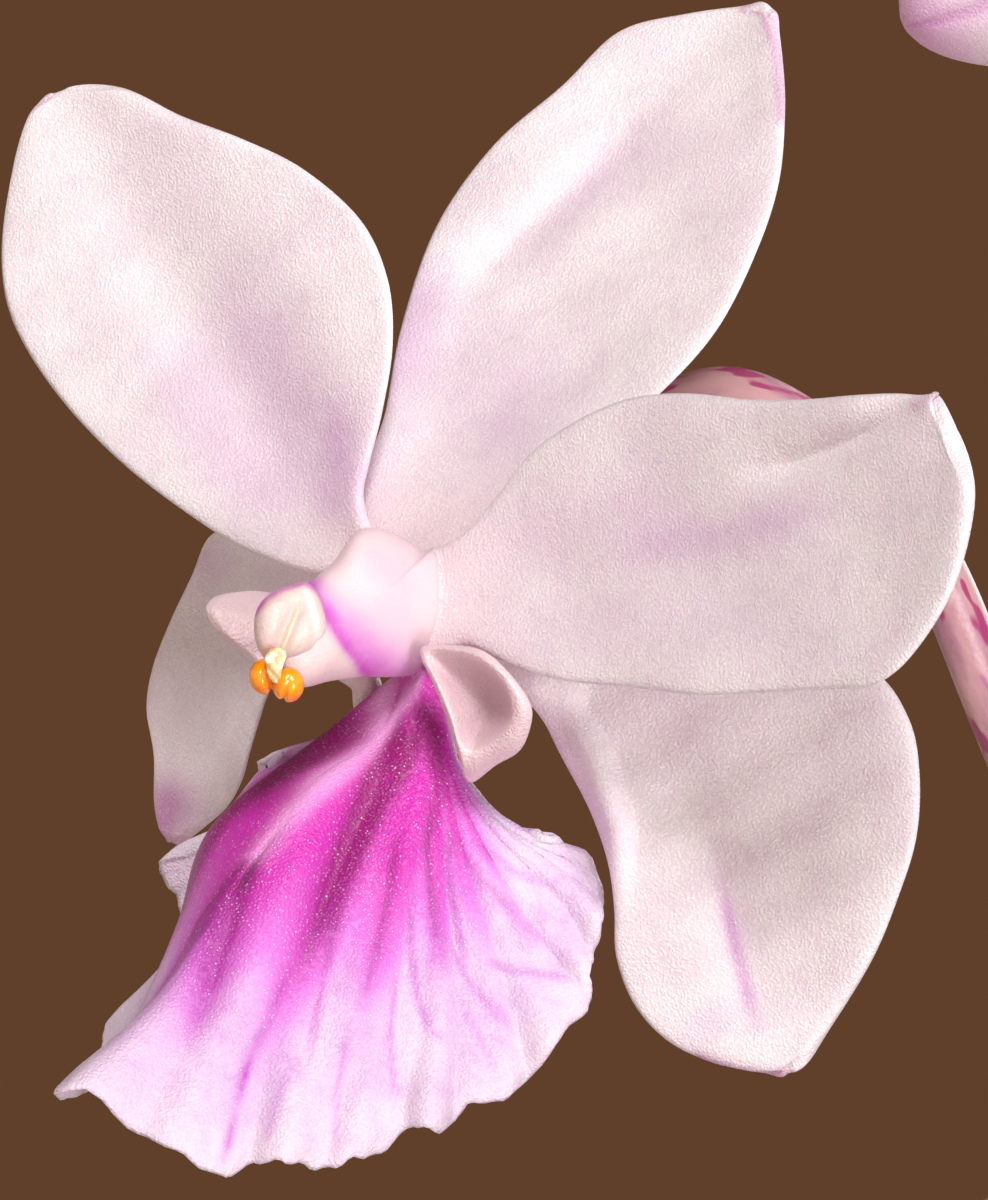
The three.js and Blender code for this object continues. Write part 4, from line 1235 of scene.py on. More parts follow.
def tepal_shape(name, across, along):
    """Margins smooth through the stations, straight across between them. The depth is the leaning
    plane, the cup 4u(1-u) sin(pi v), the folds and a small ripple of three sines. Where the column
    comes within a flare of the right petal, the petal curves up into it: it rises by
    gap h + flare h(1-h), with h half the gap in flares and a half. Margins are thin and round."""
    tepal = TEPALS[name]
    u, v = grid(across, along)
    rows = smooth(tepal["stations"], v[0])
    x = rows[:, 0] + (rows[:, 2] - rows[:, 0]) * u
    y = rows[:, 1] + (rows[:, 3] - rows[:, 1]) * u
    depth = tepal["foot"] + tepal["lean"][0] * x + tepal["lean"][1] * y
    depth = depth + tepal["cup"] * 4 * u * (1 - u) * np.sin(np.pi * v)
    depth = depth + near_lines(x, y, FOLDS[name], FOLD_FADE)
    if name == FLARED_BLADE:
        gap = column_front(x, y) - depth - TEPAL_THICKNESS / 2
        h = np.clip(0.5 + 0.5 * gap / FLARE, 0, 1)
        near = np.clip((FLARE_REACH - gap) / FLARE_REACH, 0, 1)
        depth = depth + near * (gap * h + FLARE * h * (1 - h))
    ripple = 0.07 * np.sin(1.1 * x + 0.7 * y) + 0.05 * np.sin(2.3 * y - 1.4 * x + 1.0)
    ripple = ripple + 0.1 * np.abs(2 * u - 1) ** 3 * np.sin(21 * v + 5 * u)
    depth = depth + np.clip(v * 3, 0, 1) * ripple
    # The lilac flush, partly painted shade in the dorsal sepal's groove and along shaded margins.
    flush = near_lines(x, y, LILAC_AND_PAINTED_SHADE[name], FOLD_FADE)
    tip = near_lines(x, y, [PURPLE_TIPS[name]], 0.0)
    half = TEPAL_THICKNESS / 2 * np.sqrt((1 - np.abs(2 * u - 1) ** 6) * np.clip((1 - v) * 12, 0, 1))
    middle = from_view(np.stack([x, y, depth], axis=-1))
    return blade(middle, half, flush=flush, tip=tip, foot=1 - v)


def domes_and_painted_glints(skin, power):
    """The domed cells of the skin: 1 in the middle of a dome and 0 between them, and a painted glint
    in the middle of each cell, a highlight to lay into the colour, as bright as a number picked for
    the cell raised to the power."""
    distance, picked = skin.cells(CELLS_PER_METRE)
    dome = skin.eased(distance, 0.0, 0.75, 1.0, 0.0)
    lit = skin.add("Math", {0: picked["Red"], 1: power}, operation="POWER").outputs[0]
    return dome, skin.product(lit, skin.eased(distance, 0.08, 0.4, 1.0, 0.0))


def petal_material():
    """White with a breath of pink, lilac where flushed, partly as painted shade, purple at the tip,
    cream at the foot; light goes a little way in. The skin's cells bump it, painted shade greys it
    between them, and some of them carry a painted glint."""
    petal = Finish(
        "glittering_petal", Roughness=0.5, Specular_IOR_Level=0.4, Subsurface_Weight=0.3,
        Subsurface_Scale=0.0007, Subsurface_Radius=(1.0, 0.7, 0.85), Sheen_Weight=0.12, Sheen_Roughness=0.4
    )
    petal.mottle(petal.noise(260.0, 4.0), 0.36, 0.66, srgb(242, 233, 236), srgb(235, 222, 229))
    petal.stain(petal.painted("foot"), 0.72, 0.98, 0.9, srgb(244, 218, 224))
    petal.stain(petal.noise(1300.0), 0.5, 0.72, 0.3, srgb(216, 196, 214))
    uneven = petal.raised(petal.noise(700.0), 0.6)
    # The lilac flush laid on here is partly the blades' own colour and partly painted shade: along the dorsal
    # sepal's groove and lower left margin, and beside the right lateral sepal's turned-down rim.
    petal.cover(petal.product(petal.painted("flush"), uneven), srgb(206, 152, 204))
    petal.cover(petal.painted("tip"), srgb(178, 76, 158))
    dome, painted_glint = domes_and_painted_glints(petal, 3.0)
    # Painted shade: the colour greys between the domed cells. Painted highlight: white glints in the middle
    # of some cells.
    petal.cover(petal.eased(dome, 0.0, 0.5, 0.3, 0.0), srgb(206, 188, 202))
    petal.cover(petal.product(painted_glint, 0.9), (1.0, 0.99, 1.0, 1.0))
    petal.bump(dome, 0.00005, 0.55)
    return petal.done()


petal_flesh = petal_material()
for name, seat in FLOWER_SEATS.items():
    across, along = TEPAL_GRIDS[name == "flower_1"]
    for tepal in TEPALS:
        node = f"{name}_{tepal}"
        shape = placed(tepal_shape(tepal, across, along), seat)
        add_piece(f"{node}_blade", shape, petal_flesh, [node])

# Lip
# The lowest petal: a narrow magenta claw that widens to a broad fan, folded along a pale keel and
# streaked towards a thin, notched, glittering margin. Two ear-shaped cups flank the claw and a
# short hollow spur hangs behind.
LIP_THICKNESS = 0.5
LIP_LEAN = np.array([-0.114, -0.337])
LIP_FOOT = -1.28
# How far over the left half is seen from its mirror image, and what share of it at each station.
LIP_LEFT_SHIFT = np.array([-1.6, -0.2, 0.0])
LIP_LEFT_SHARES = np.array([0.0, 0.65, 1.5, 0.6, 0.0, 0.0])
# The far half has this share of the near half's relief.
FAR_RELIEF = 0.15
# The way square to the flower's own middle plane, as the look has it.
ACROSS = np.array([0.67, -0.227, 0.707])
LIP_GRIDS = {True: (141, 121), False: (49, 43)}
EAR_GRIDS = {True: (84, 26), False: (36, 12)}
# Rays of the right half from the claw to the margin, keel first, in millimetres as seen.
LIP_RAYS = np.array([
    [[-0.63, -2.6], [-1.6, -5.0], [-3.93, -6.9], [-6.4, -10.0], [-8.6, -13.67], [-11.93, -17.03]],
    [[-0.47, -2.6], [-0.93, -5.33], [-2.67, -8.0], [-4.67, -12.0], [-6.0, -16.0], [-6.93, -19.6]],
    [[-0.33, -2.6], [-0.4, -5.67], [-1.27, -9.0], [-2.17, -12.67], [-2.83, -16.0], [-3.6, -19.2]],
    [[-0.2, -2.6], [0.0, -5.83], [0.0, -9.33], [0.0, -12.33], [-0.17, -15.33], [-0.47, -18.0]],
    [[-0.07, -2.6], [0.33, -5.83], [0.93, -9.0], [1.67, -12.0], [2.17, -14.67], [2.43, -17.07]],
    [[0.03, -2.6], [0.57, -5.83], [1.67, -8.67], [3.0, -11.0], [4.1, -12.73], [5.07, -14.2]],
    [[0.13, -2.6], [0.73, -5.83], [2.07, -8.0], [3.5, -9.5], [4.67, -10.73], [5.67, -11.83]],
    [[0.2, -2.6], [0.83, -5.83], [2.0, -7.5], [3.33, -8.4], [4.5, -8.87], [5.57, -9.27]],
    [[0.27, -2.6], [0.87, -5.73], [1.6, -7.0], [2.07, -7.6], [2.43, -7.93], [2.83, -8.1]],
    [[0.33, -2.6], [0.87, -5.5], [1.07, -6.27], [1.13, -6.67], [1.17, -6.93], [1.2, -7.13]],
])
LAST_RAY = len(LIP_RAYS) - 1
# The margin in the photograph, with the ray that each place lies on.
LIP_MARGIN = np.array([
    (0.0, 60, 1101), (0.15, 92, 1096), (0.35, 134, 1129), (0.7, 182, 1155), (1.0, 223, 1179),
    (1.3, 256, 1159), (1.65, 289, 1166), (2.1, 334, 1166), (2.6, 378, 1153), (2.93, 411, 1124),
    (3.05, 419, 1133), (3.3, 441, 1133), (3.6, 467, 1105), (4.0, 504, 1100), (4.45, 541, 1066),
    (4.8, 567, 1028), (5.0, 588, 1012), (5.25, 592, 992), (5.45, 588, 978), (5.8, 594, 955),
    (6.25, 602, 922), (6.7, 604, 889), (7.1, 591, 857), (7.6, 555, 839), (8.1, 503, 832),
    (8.5, 476, 825), (9.0, 463, 804),
])
# The far half's margin where it shows past the keel in the photograph, with the ray.
LIP_FAR_MARGIN = np.array([
    (0.0, 60, 1101), (0.8, 92, 1088), (1.6, 120, 1072), (2.2, 112, 1062), (2.8, 101, 1044),
    (3.3, 108, 1024), (3.8, 140, 1006), (4.4, 172, 970), (4.9, 182, 932), (5.3, 178, 896),
    (5.6, 162, 880), (5.9, 158, 862), (6.3, 172, 848), (6.7, 204, 850), (7.2, 252, 838),
    (7.7, 280, 806), (8.0, 262, 784), (8.3, 256, 762), (8.6, 276, 750), (9.0, 310, 762),
])
# How far along each ray the magenta reaches, and over what share of the ray it fades.
MAGENTA_REACH = [0.7, 0.64, 0.55, 0.48, 0.43, 0.37, 0.3, 0.25, 0.2, 0.15]
MAGENTA_FADE = 0.085
# The line of the pale keel in the photograph.
PALE_KEEL = [
    (418, 672), (415, 684), (406, 708), (391, 731), (372, 750),
    (348, 770), (312, 796), (282, 826), (262, 850),
]
# Dark streaks and veins, the lip's own colour; the first and third, the strongest, also lie in
# grooves of the relief and are in part painted shade there: places in the photograph, width in
# millimetres and strength.
LIP_STREAKS_AND_SHADE = [
    ([(300, 792), (283, 806), (253, 851), (236, 890), (222, 940), (206, 990), (182, 1066)], 0.48, 1.4),
    ([(262, 850), (240, 905), (222, 955)], 0.34, 0.8),
    ([(418, 694), (404, 738), (377, 775), (352, 830), (332, 880), (318, 925), (284, 1000)], 0.5, 1.4),
    ([(424, 730), (404, 775), (372, 828), (352, 872), (338, 920)], 0.3, 0.9),
    ([(398, 690), (372, 722), (330, 756), (285, 796), (262, 826)], 0.26, 0.9),
    ([(344, 742), (300, 768), (262, 794), (236, 822), (222, 862)], 0.3, 0.7),
    ([(420, 700), (436, 745), (438, 790), (428, 840)], 0.3, 0.7),
    ([(430, 800), (424, 850), (432, 910), (442, 985)], 0.17, 0.8),
    ([(446, 820), (448, 870), (458, 920), (468, 975)], 0.17, 0.7),
    ([(400, 830), (390, 890), (376, 950), (356, 1020)], 0.17, 0.7),
    ([(452, 830), (480, 880), (520, 925), (560, 950)], 0.2, 0.55),
    ([(470, 838), (510, 872), (566, 892)], 0.2, 0.4),
    ([(412, 880), (410, 940), (418, 1000), (440, 1050)], 0.16, 0.6),
    ([(350, 880), (330, 950), (318, 1010), (306, 1076)], 0.16, 0.65),
    ([(290, 960), (262, 1030), (232, 1100)], 0.2, 0.55),
    ([(440, 930), (470, 985), (512, 1032)], 0.17, 0.5),
    ([(395, 960), (388, 1035), (396, 1110)], 0.14, 0.5),
    ([(350, 1020), (336, 1090), (338, 1158)], 0.14, 0.45),
    ([(252, 1050), (232, 1110), (222, 1172)], 0.14, 0.7),
    ([(300, 1050), (278, 1105), (270, 1150)], 0.13, 0.35),
    ([(480, 960), (520, 975), (588, 984)], 0.14, 0.45),
    ([(455, 990), (478, 1040), (500, 1085)], 0.13, 0.3),
]
# Relief of the right half: places in the photograph, width and height in millimetres.
LIP_FOLDS = [
    (PALE_KEEL, 0.3, 0.16),
    ([(330, 775), (283, 812), (253, 856), (234, 905), (215, 970), (196, 1030)], 0.5, -0.26),
    ([(410, 720), (380, 780), (350, 835), (326, 890), (300, 950)], 0.55, -0.26),
    ([(430, 760), (412, 830), (398, 900)], 0.6, 0.26),
    ([(318, 830), (284, 905), (262, 980), (236, 1060)], 0.8, 0.3),
    ([(480, 930), (525, 956), (572, 978)], 0.6, -0.26),
    ([(440, 870), (452, 940), (480, 1010)], 0.5, -0.16),
    ([(380, 930), (360, 1000), (348, 1080)], 0.5, 0.2),
    ([(336, 940), (312, 1010), (296, 1090)], 0.4, -0.2),
]
# Share of a streak's or fold's length over which each of its ends dies away.
STREAK_FADE = 0.22
LIP_FOLD_FADE = 0.2


def mirrored(vectors):
    """The vectors' mirror images in the flower's own middle plane."""
    return vectors - 2 * (vectors @ ACROSS)[..., None] * ACROSS


def both_sides(right, left):
    """One array over both halves of the lip: the left one backwards, then the right one."""
    return np.concatenate([left[:0:-1], right])


def drawn_to(margin, rays, seen, v):
    """How far each place is moved for the last station to reach the margin, which is finely
    toothed by a few sines of the ray: by v^5 of the way."""
    places = np.stack([np.interp(rays, margin[:, 0], margin[:, i]) for i in (1, 2)], axis=-1)
    teeth = 0.07 * np.sin(rays * 17) * np.sin(rays * 7.3 + 1) + 0.04 * np.sin(rays * 23 + 2)
    edge = from_photo(places) * (1 + teeth[:, None] / 18)
    return (edge - seen[:, -1, :2])[:, None] * v[None, :, None] ** 5


def lip_net():
    """The rays of both halves: the keel lies in the flower's middle plane, the right half on the
    leaning plane, and the left half is its mirror image set over to where it is seen."""
    rays = np.concatenate([LIP_RAYS, np.zeros((*LIP_RAYS.shape[:2], 1))], axis=-1)
    rays[..., 2] = LIP_FOOT + LIP_RAYS @ LIP_LEAN
    rays[0, :, 2] = -(LIP_RAYS[0] @ ACROSS[:2]) / ACROSS[2]
    left = mirrored(rays[1:]) + LIP_LEFT_SHARES[:, None] * LIP_LEFT_SHIFT
    return np.concatenate([left[::-1], rays])


def lip_relief(x, y, ray, v):
    """Height of the right half's folds along the lines seen, pleats of three sines that grow as
    v^2, and a wavy rim of two; all of it dies away at the last ray and towards the claw."""
    pleats = 0.14 * np.sin(ray * 4.1 + 0.8) + 0.11 * np.sin(ray * 7.9 + 2.1) + 0.07 * np.sin(ray * 14.3)
    rim = np.maximum(0, v - 0.8) * (1.0 * np.sin(ray * 8.3 + 1) + 0.5 * np.sin(ray * 12.7))
    relief = near_lines(x, y, LIP_FOLDS, LIP_FOLD_FADE) + v ** 2 * pleats + rim
    return relief * np.clip((LAST_RAY + 0.2 - ray) / 1.2, 0, 1) * np.clip((v - 0.1) / 0.3, 0, 1)


def lip_fan(across, along):
    """Smooth through the net of rays both ways, then drawn to the margins and raised along its
    normal by the relief. magenta is 1/(1 + exp((v - reach)/fade)), less at the near half's last
    rays; the streaks, in part painted shade in the grooves, and keel follow the lines seen, and
    edge is v."""
    v = np.linspace(0, 1, along)
    ray = np.linspace(0, LAST_RAY, across)
    on_rays = smooth(lip_net().transpose(1, 0, 2), v).transpose(1, 0, 2)
    right = smooth(on_rays, 0.5 + ray / (2 * LAST_RAY))
    left = smooth(on_rays, 0.5 - ray / (2 * LAST_RAY))
    pull = drawn_to(LIP_MARGIN, ray, right, v)
    right[..., :2] += pull
    right[..., 2] += pull @ LIP_LEAN
    left[..., :2] += drawn_to(LIP_FAR_MARGIN, ray, left, v)
    x, y = right[..., 0], right[..., 1]
    ray, v = ray[:, None], v[None, :]
    relief = lip_relief(x, y, ray, v)
    reach = np.interp(ray, np.arange(LAST_RAY + 1), MAGENTA_REACH) + 0.05 * np.sin(ray * 6.5)
    magenta = 1 / (1 + np.exp((v - reach) / MAGENTA_FADE))
    near_magenta = magenta * np.clip((LAST_RAY - 0.2 - ray) / 2.6, 0.0, 1)
    # Dark streaks, in part painted shade where they follow the grooves.
    streak = near_lines(x, y, LIP_STREAKS_AND_SHADE, STREAK_FADE)
    keel = near_line(x, y, PALE_KEEL, 0.2 + 0.25 * np.clip(-(y + 4) / 5, 0, 1))
    sheet = from_view(both_sides(right, left))
    normal = normals(sheet)
    front = np.sign(normal[len(sheet) // 2:, :, 2].mean())
    sheet = sheet + front * normal * both_sides(relief, FAR_RELIEF * relief)[..., None]
    u = np.linspace(-1, 1, len(sheet))[:, None]
    half = LIP_THICKNESS / 2 * np.sqrt((1 - u ** 10) * np.clip((1 - v) * 16, 0, 1))
    paint = {
        "magenta": both_sides(near_magenta, magenta),
        "streak": both_sides(streak, streak),
        "keel": both_sides(keel, keel),
        "edge": v,
    }
    return blade(sheet, half, **paint)


# The near ear, clockwise as seen from its upper left: places in the photograph and depth of the
# hollow's brim, and of the outer edge, and the hollow's bottom.
EAR_BRIM = [
    (432, 657, 2.6), (450, 652, 3.4), (478, 660, 4.4), (500, 678, 5.0), (511, 700, 5.1), (512, 718, 4.9),
    (503, 734, 4.5), (486, 746, 3.9), (470, 752, 3.6), (460, 740, 3.7), (453, 714, 3.7), (442, 686, 3.4),
]
EAR_EDGE = [
    (420, 649, 2.4), (452, 645, 3.2), (484, 651, 4.3), (512, 676, 5.0), (530, 703, 5.1), (531, 724, 4.8),
    (520, 750, 4.1), (496, 765, 3.3), (469, 783, 2.4), (459, 758, 3.2), (446, 716, 3.3), (433, 684, 3.0),
]
EAR_BOTTOM = np.array([1.83, -3.9, 2.9])
EAR_WALL = 0.45
EAR_EDGE_SWELL = 0.22
# The far ear is the mirror image, drawn out sideways and turned to show its back, as it is seen.
FAR_EAR_FROM = np.array([-2.9, -0.1, -3.2])
FAR_EAR_TO = np.array([-3.6, -0.15, -3.2])
FAR_EAR_STRETCH = np.array([1.3, 0.6, -1.0])


def ear_rings(around, along):
    """From the hollow's bottom its inside rises as the square of the share of the way to the brim;
    the edge swells between brim and outer edge as a half sine; the outside falls back to one wall
    behind the bottom in the same way as the inside rose."""
    turn = np.linspace(0, 1, around, endpoint=False)
    brim, edge = smooth_loop(EAR_BRIM, turn), smooth_loop(EAR_EDGE, turn)
    brim = np.column_stack([from_photo(brim[:, :2]), brim[:, 2]])
    edge = np.column_stack([from_photo(edge[:, :2]), edge[:, 2]])
    swell = np.array([0.0, 0.0, EAR_EDGE_SWELL])
    behind = EAR_BOTTOM - [0.0, 0.0, EAR_WALL]
    inside = np.linspace(0.04, 1, along)[:, None, None]
    over = np.linspace(0, 1, along // 2)[1:, None, None]
    power = np.array([1.0, 1.0, 2.0])
    rings = np.concatenate([
        EAR_BOTTOM + (brim - EAR_BOTTOM) * inside ** power,
        brim + (edge - brim) * over + swell * np.sin(np.pi * over),
        behind + (edge - behind) * inside[-2::-1] ** power,
    ])
    # shade is painted shade for the hollow: 1 at its bottom, gone at the brim, and 0 outside.
    shade = np.concatenate([1 - inside[:, 0, 0] ** 6, np.zeros(len(rings) - along)])[:, None]
    return rings, shade


def ear_shape(around, along):
    """Both ears: the near one's rings, and their mirror image drawn out sideways and turned over."""
    rings, shade = ear_rings(around, along)
    far = (mirrored(rings) - FAR_EAR_FROM) * FAR_EAR_STRETCH + FAR_EAR_TO
    return together([tube(from_view(ear)[:, ::-1], ear=1.0, shade=shade) for ear in (rings, far)])


# The spur and the ears' roots: rows of x, y and depth in the look, and radius.
SPUR_LINE = [
    [-0.4, -2.6, -1.4, 1.0],
    [-0.2, -4.2, -2.2, 1.1],
    [-0.1, -7.0, -3.4, 0.9],
    [-0.3, -10.0, -4.2, 0.5],
]
NEAR_EAR_ROOT = [
    [1.1, -3.9, -1.2, 0.45],
    [1.5, -4.1, 0.2, 0.5],
    [1.9, -4.2, 2.3, 0.55],
]
FAR_EAR_ROOT = [
    [-1.9, -4.7, -0.9, 0.35],
    [-2.1, -3.9, -1.4, 0.48],
    [-2.25, -3.0, -1.9, 0.52],
    [-3.4, -2.2, -2.6, 0.6],
    [-4.8, -1.5, -3.2, 0.6],
]
LIP_ROOT_GRID = (24, 30)


def lip_roots():
    """The spur, and the short thick root that joins each ear to the claw."""
    shapes = [strand(line, *LIP_ROOT_GRID) for line in (SPUR_LINE, NEAR_EAR_ROOT, FAR_EAR_ROOT)]
    for shape in shapes:
        shape["paint"] = {"ear": np.ones(len(shape["points"]))}
    return together(shapes)


def lip_material():
    """Magenta claw running out in dark streaks and violet veins, in part painted shade where they
    lie in grooves, to a pale lilac margin with painted glints; pale pink along the keel; the ears
    are flesh pink, with painted shade greying the hollow."""
    lip = Finish(
        "glittering_lip", Roughness=0.46, Specular_IOR_Level=0.42, Subsurface_Weight=0.25,
        Subsurface_Scale=0.0006, Subsurface_Radius=(1.0, 0.5, 0.9), Sheen_Weight=0.1, Sheen_Roughness=0.4
    )
    magenta, ear = lip.painted("magenta"), lip.painted("ear")
    lip.mottle(lip.noise(420.0, 4.0), 0.36, 0.66, srgb(214, 192, 214), srgb(202, 172, 206))
    lip.stain(lip.noise(1500.0), 0.5, 0.74, 0.35, srgb(190, 132, 196))
    lip.stain(lip.painted("edge"), 0.82, 1.0, 0.6, srgb(218, 202, 212))
    lip.stain(magenta, 0.0, 0.5, 1.0, srgb(206, 112, 204))
    lip.stain(magenta, 0.3, 1.0, 0.97, srgb(194, 24, 164))
    uneven = lip.raised(lip.noise(900.0), 0.5)
    violet = lip.mixed(magenta, srgb(186, 76, 190), srgb(142, 0, 106))
    # The dark streaks are the lip's colour and, where they follow its grooves, painted shade.
    lip.cover(lip.product(lip.painted("streak"), uneven), violet)
    lip.cover(lip.product(lip.painted("keel"), 0.95), srgb(226, 154, 212))
    # Painted shade: the ears' hollows grey towards their bottom.
    lip.cover(ear, lip.mixed(lip.painted("shade"), srgb(224, 198, 202), srgb(196, 164, 174)))
    dome, painted_glint = domes_and_painted_glints(lip, 3.0)
    # Painted highlight: white glints in the middle of some cells, fainter on the ears.
    lip.cover(lip.product(painted_glint, lip.eased(ear, 0.0, 1.0, 0.6, 0.15)), (1.0, 0.93, 1.0, 1.0))
    lip.bump(dome, 0.00005, 0.55)
    return lip.done()


lip_flesh = lip_material()
for name, seat in FLOWER_SEATS.items():
    nearest = name == "flower_1"
    node = f"{name}_lip"
    parts = [lip_fan(*LIP_GRIDS[nearest]), ear_shape(*EAR_GRIDS[nearest]), lip_roots()]
    add_piece(f"{node}_fan", placed(together(parts), seat), lip_flesh, [node])

# Column
# The waxy beak in the middle of the flower, flared where the five blades join it: flesh pink with
# a magenta band. On its end sits the pale ribbed anther cap, which holds the pollen.
COLUMN_GRIDS = {True: (96, 80), False: (40, 36)}
CAP_GRIDS = {True: (96, 70), False: (36, 28)}
POLE_GAP = 0.04
# The anther cap, given in the same way as the column.
CAP_FORM = {
    "outline": [
        (254, 630), (256, 612), (264, 599), (276, 590), (290, 585), (306, 582), (319, 592), (329, 612),
        (332, 632), (322, 650), (303, 660), (285, 664), (268, 661), (258, 648),
    ],
    "middle": (-4.6, -1.05),
    "plane": (1.9, -0.5, 0.0),
    "front": 1.25,
    "back": 1.3,
    "fullness": 2.4,
}
# The magenta band down the column, with how far its haze reaches behind it in millimetres.
COLUMN_BAND = np.array([
    (306, 574, 0.4), (312, 590, 0.6), (322, 608, 0.9), (334, 628, 1.3),
    (346, 646, 1.8), (360, 664, 2.2), (372, 684, 2.5),
])
BAND_WIDTH = 0.26
HAZE_EDGE = 0.12
FLANK_WIDTH = 0.3
# Lines on the cap: places in the photograph.
CAP_RIB = [(298, 612), (290, 632), (281, 655)]
CAP_SEAM = [(306, 592), (314, 616), (318, 645)]
CAP_RIM = [(256, 612), (266, 597), (284, 587), (306, 582), (320, 592), (329, 612)]
CAP_LINE_WIDTH = 0.13
CAP_SEAM_WIDTH = 0.14
CAP_GROOVE_WIDTH = 0.4


def pebble(form, around, along):
    """Rings over an outline as seen, with the ring's share r of the way out to the outline going as
    a half sine. The front half rises off the plane by front (1 - r^fullness)^0.5 and the back half
    falls behind it in the same way. The rings run round so that their skin faces out."""
    outline = smooth_loop(form["outline"], np.linspace(0, 1, around, endpoint=False))[::-1]
    middle = np.array(form["middle"])
    polar = np.linspace(POLE_GAP, np.pi - POLE_GAP, along)[:, None]
    share = np.sin(polar)
    place = middle + (from_photo(outline) - middle)[None] * share[..., None]
    rise = np.sqrt(1 - share ** form["fullness"])
    level, by_x, by_y = form["plane"]
    height = np.where(polar < np.pi / 2, form["front"] * rise, -form["back"] * rise)
    depth = level + by_x * place[..., 0] + by_y * place[..., 1] + height
    return np.concatenate([place, depth[..., None]], axis=-1)


def column_shape(around, along):
    """The column's pebble. The band is exp(-(side/width)^2) of how far right of its line a place
    is, and the haze the same with its own reach to the right and a sharp edge to the left, where
    the flank begins."""
    seen = pebble(COLUMN_FORM, around, along)
    x, y = seen[..., 0], seen[..., 1]
    line = from_photo(COLUMN_BAND[:, :2])
    side = x - np.interp(-y, -line[:, 1], line[:, 0])
    reach = np.interp(-y, -line[:, 1], COLUMN_BAND[:, 2])
    band = np.exp(-(side / BAND_WIDTH) ** 2)
    haze = np.exp(-(side / np.where(side > 0, reach, HAZE_EDGE)) ** 2)
    return tube(from_view(seen), band=band, haze=haze, flank=np.clip(-side / FLANK_WIDTH, 0, 1))


def cap_shape(around, along):
    """The cap's pebble with a raised rib down its face in a broad groove, and a seam beside it."""
    seen = pebble(CAP_FORM, around, along)
    x, y = seen[..., 0], seen[..., 1]
    front = (np.arange(along) < along / 2)[:, None]
    rib = near_line(x, y, CAP_RIB, CAP_LINE_WIDTH) * front
    groove = near_line(x, y, CAP_RIB, CAP_GROOVE_WIDTH) * front
    seam = near_line(x, y, CAP_SEAM, CAP_SEAM_WIDTH) * front
    rim = near_line(x, y, CAP_RIM, CAP_LINE_WIDTH) * front
    seen[..., 2] += 0.34 * rib - 0.3 * groove - 0.1 * seam
    return tube(from_view(seen), rib=0.55 * rib, rim=rim, seam=seam)


def column_material():
    """Flesh pink to cream, smooth and waxy, with the magenta band and its violet haze."""
    column = Finish(
        "waxy_column", Roughness=0.38, Specular_IOR_Level=0.4, Subsurface_Weight=0.4,
        Subsurface_Scale=0.0009, Subsurface_Radius=(1.0, 0.6, 0.7)
    )
    uneven = column.raised(column.noise(900.0), 0.4)
    column.mottle(column.noise(350.0), 0.35, 0.65, srgb(226, 202, 206), srgb(218, 190, 202))
    column.cover(column.product(column.painted("flank"), 0.7), srgb(222, 200, 196))
    column.cover(column.product(column.painted("haze"), uneven), srgb(204, 118, 196))
    band = column.product(column.painted("band"), uneven)
    column.cover(column.product(band, 0.8), srgb(190, 76, 180))
    dome = domes_and_painted_glints(column, 5.0)[0]
    column.bump(dome, 0.00003, 0.3)
    return column.done()


def cap_material():
    """Translucent cream with a pink cast, yellow on the rib, a thin magenta rim on top, and painted glints in
    some cells.
    """
    cap = Finish(
        "anther_cap", Roughness=0.36, Specular_IOR_Level=0.45, Subsurface_Weight=0.45,
        Subsurface_Scale=0.0009, Subsurface_Radius=(1.0, 0.7, 0.6)
    )
    cap.mottle(cap.noise(500.0), 0.36, 0.66, srgb(226, 206, 196), srgb(214, 188, 186))
    cap.cover(cap.product(cap.painted("rib"), 0.8), srgb(236, 220, 170))
    cap.cover(cap.product(cap.painted("seam"), 0.5), srgb(250, 240, 236))
    cap.cover(cap.product(cap.painted("rim"), 0.85), srgb(196, 92, 184))
    dome, painted_glint = domes_and_painted_glints(cap, 5.0)
    # Painted highlight: white glints in the middle of some cells.
    cap.cover(cap.product(painted_glint, 0.5), (1.0, 1.0, 0.97, 1.0))
    cap.bump(dome, 0.00003, 0.4)
    return cap.done()


column_flesh = column_material()
cap_flesh = cap_material()
for name, seat in FLOWER_SEATS.items():
    nearest = name == "flower_1"
    node = f"{name}_column"
    column = placed(column_shape(*COLUMN_GRIDS[nearest]), seat)
    add_piece(f"{node}_body", column, column_flesh, [node])
    cap = placed(cap_shape(*CAP_GRIDS[nearest]), seat)
    cap_node = [f"{name}_anther_cap"] if nearest else []
    add_piece(f"{name}_anther_cap_shell", cap, cap_flesh, cap_node)

# Pollen masses
# Two waxy orange balls, each split part of the way down, held under the cap's front on a
# crinkled, half-clear strap. They show on the nearest flower only.
POLLINIUM_RADIUS = 0.52
POLLINIUM_STRETCH = np.array([1.0, 1.12, 1.0])
POLLINIUM_GRID = (56, 40)
POLLINIUM_POLE_GAP = 0.05
STRAP_GRID = (36, 40)
# Middle of each ball and its tilt in radians.
POLLINIA = [
    ([-5.32, -2.82, 5.15], 0.45),
    ([-4.55, -3.08, 5.5], -0.35),
]
CLEFT_DEPTH = 0.2
CLEFT_WIDTH = 0.16
# The strap's upper edge, lower edge and half-depth, from the cap down.
STRAP_STATIONS = [
    [-5.15, -1.95, 5.65, -4.65, -1.95, 5.75, 0.1],
    [-5.3, -2.2, 5.8, -4.6, -2.15, 5.95, 0.12],
    [-5.25, -2.5, 5.85, -4.7, -2.45, 6.0, 0.12],
    [-5.2, -2.75, 5.8, -4.78, -2.8, 5.95, 0.1],
    [-5.05, -2.95, 5.75, -4.85, -3.0, 5.85, 0.08],
]


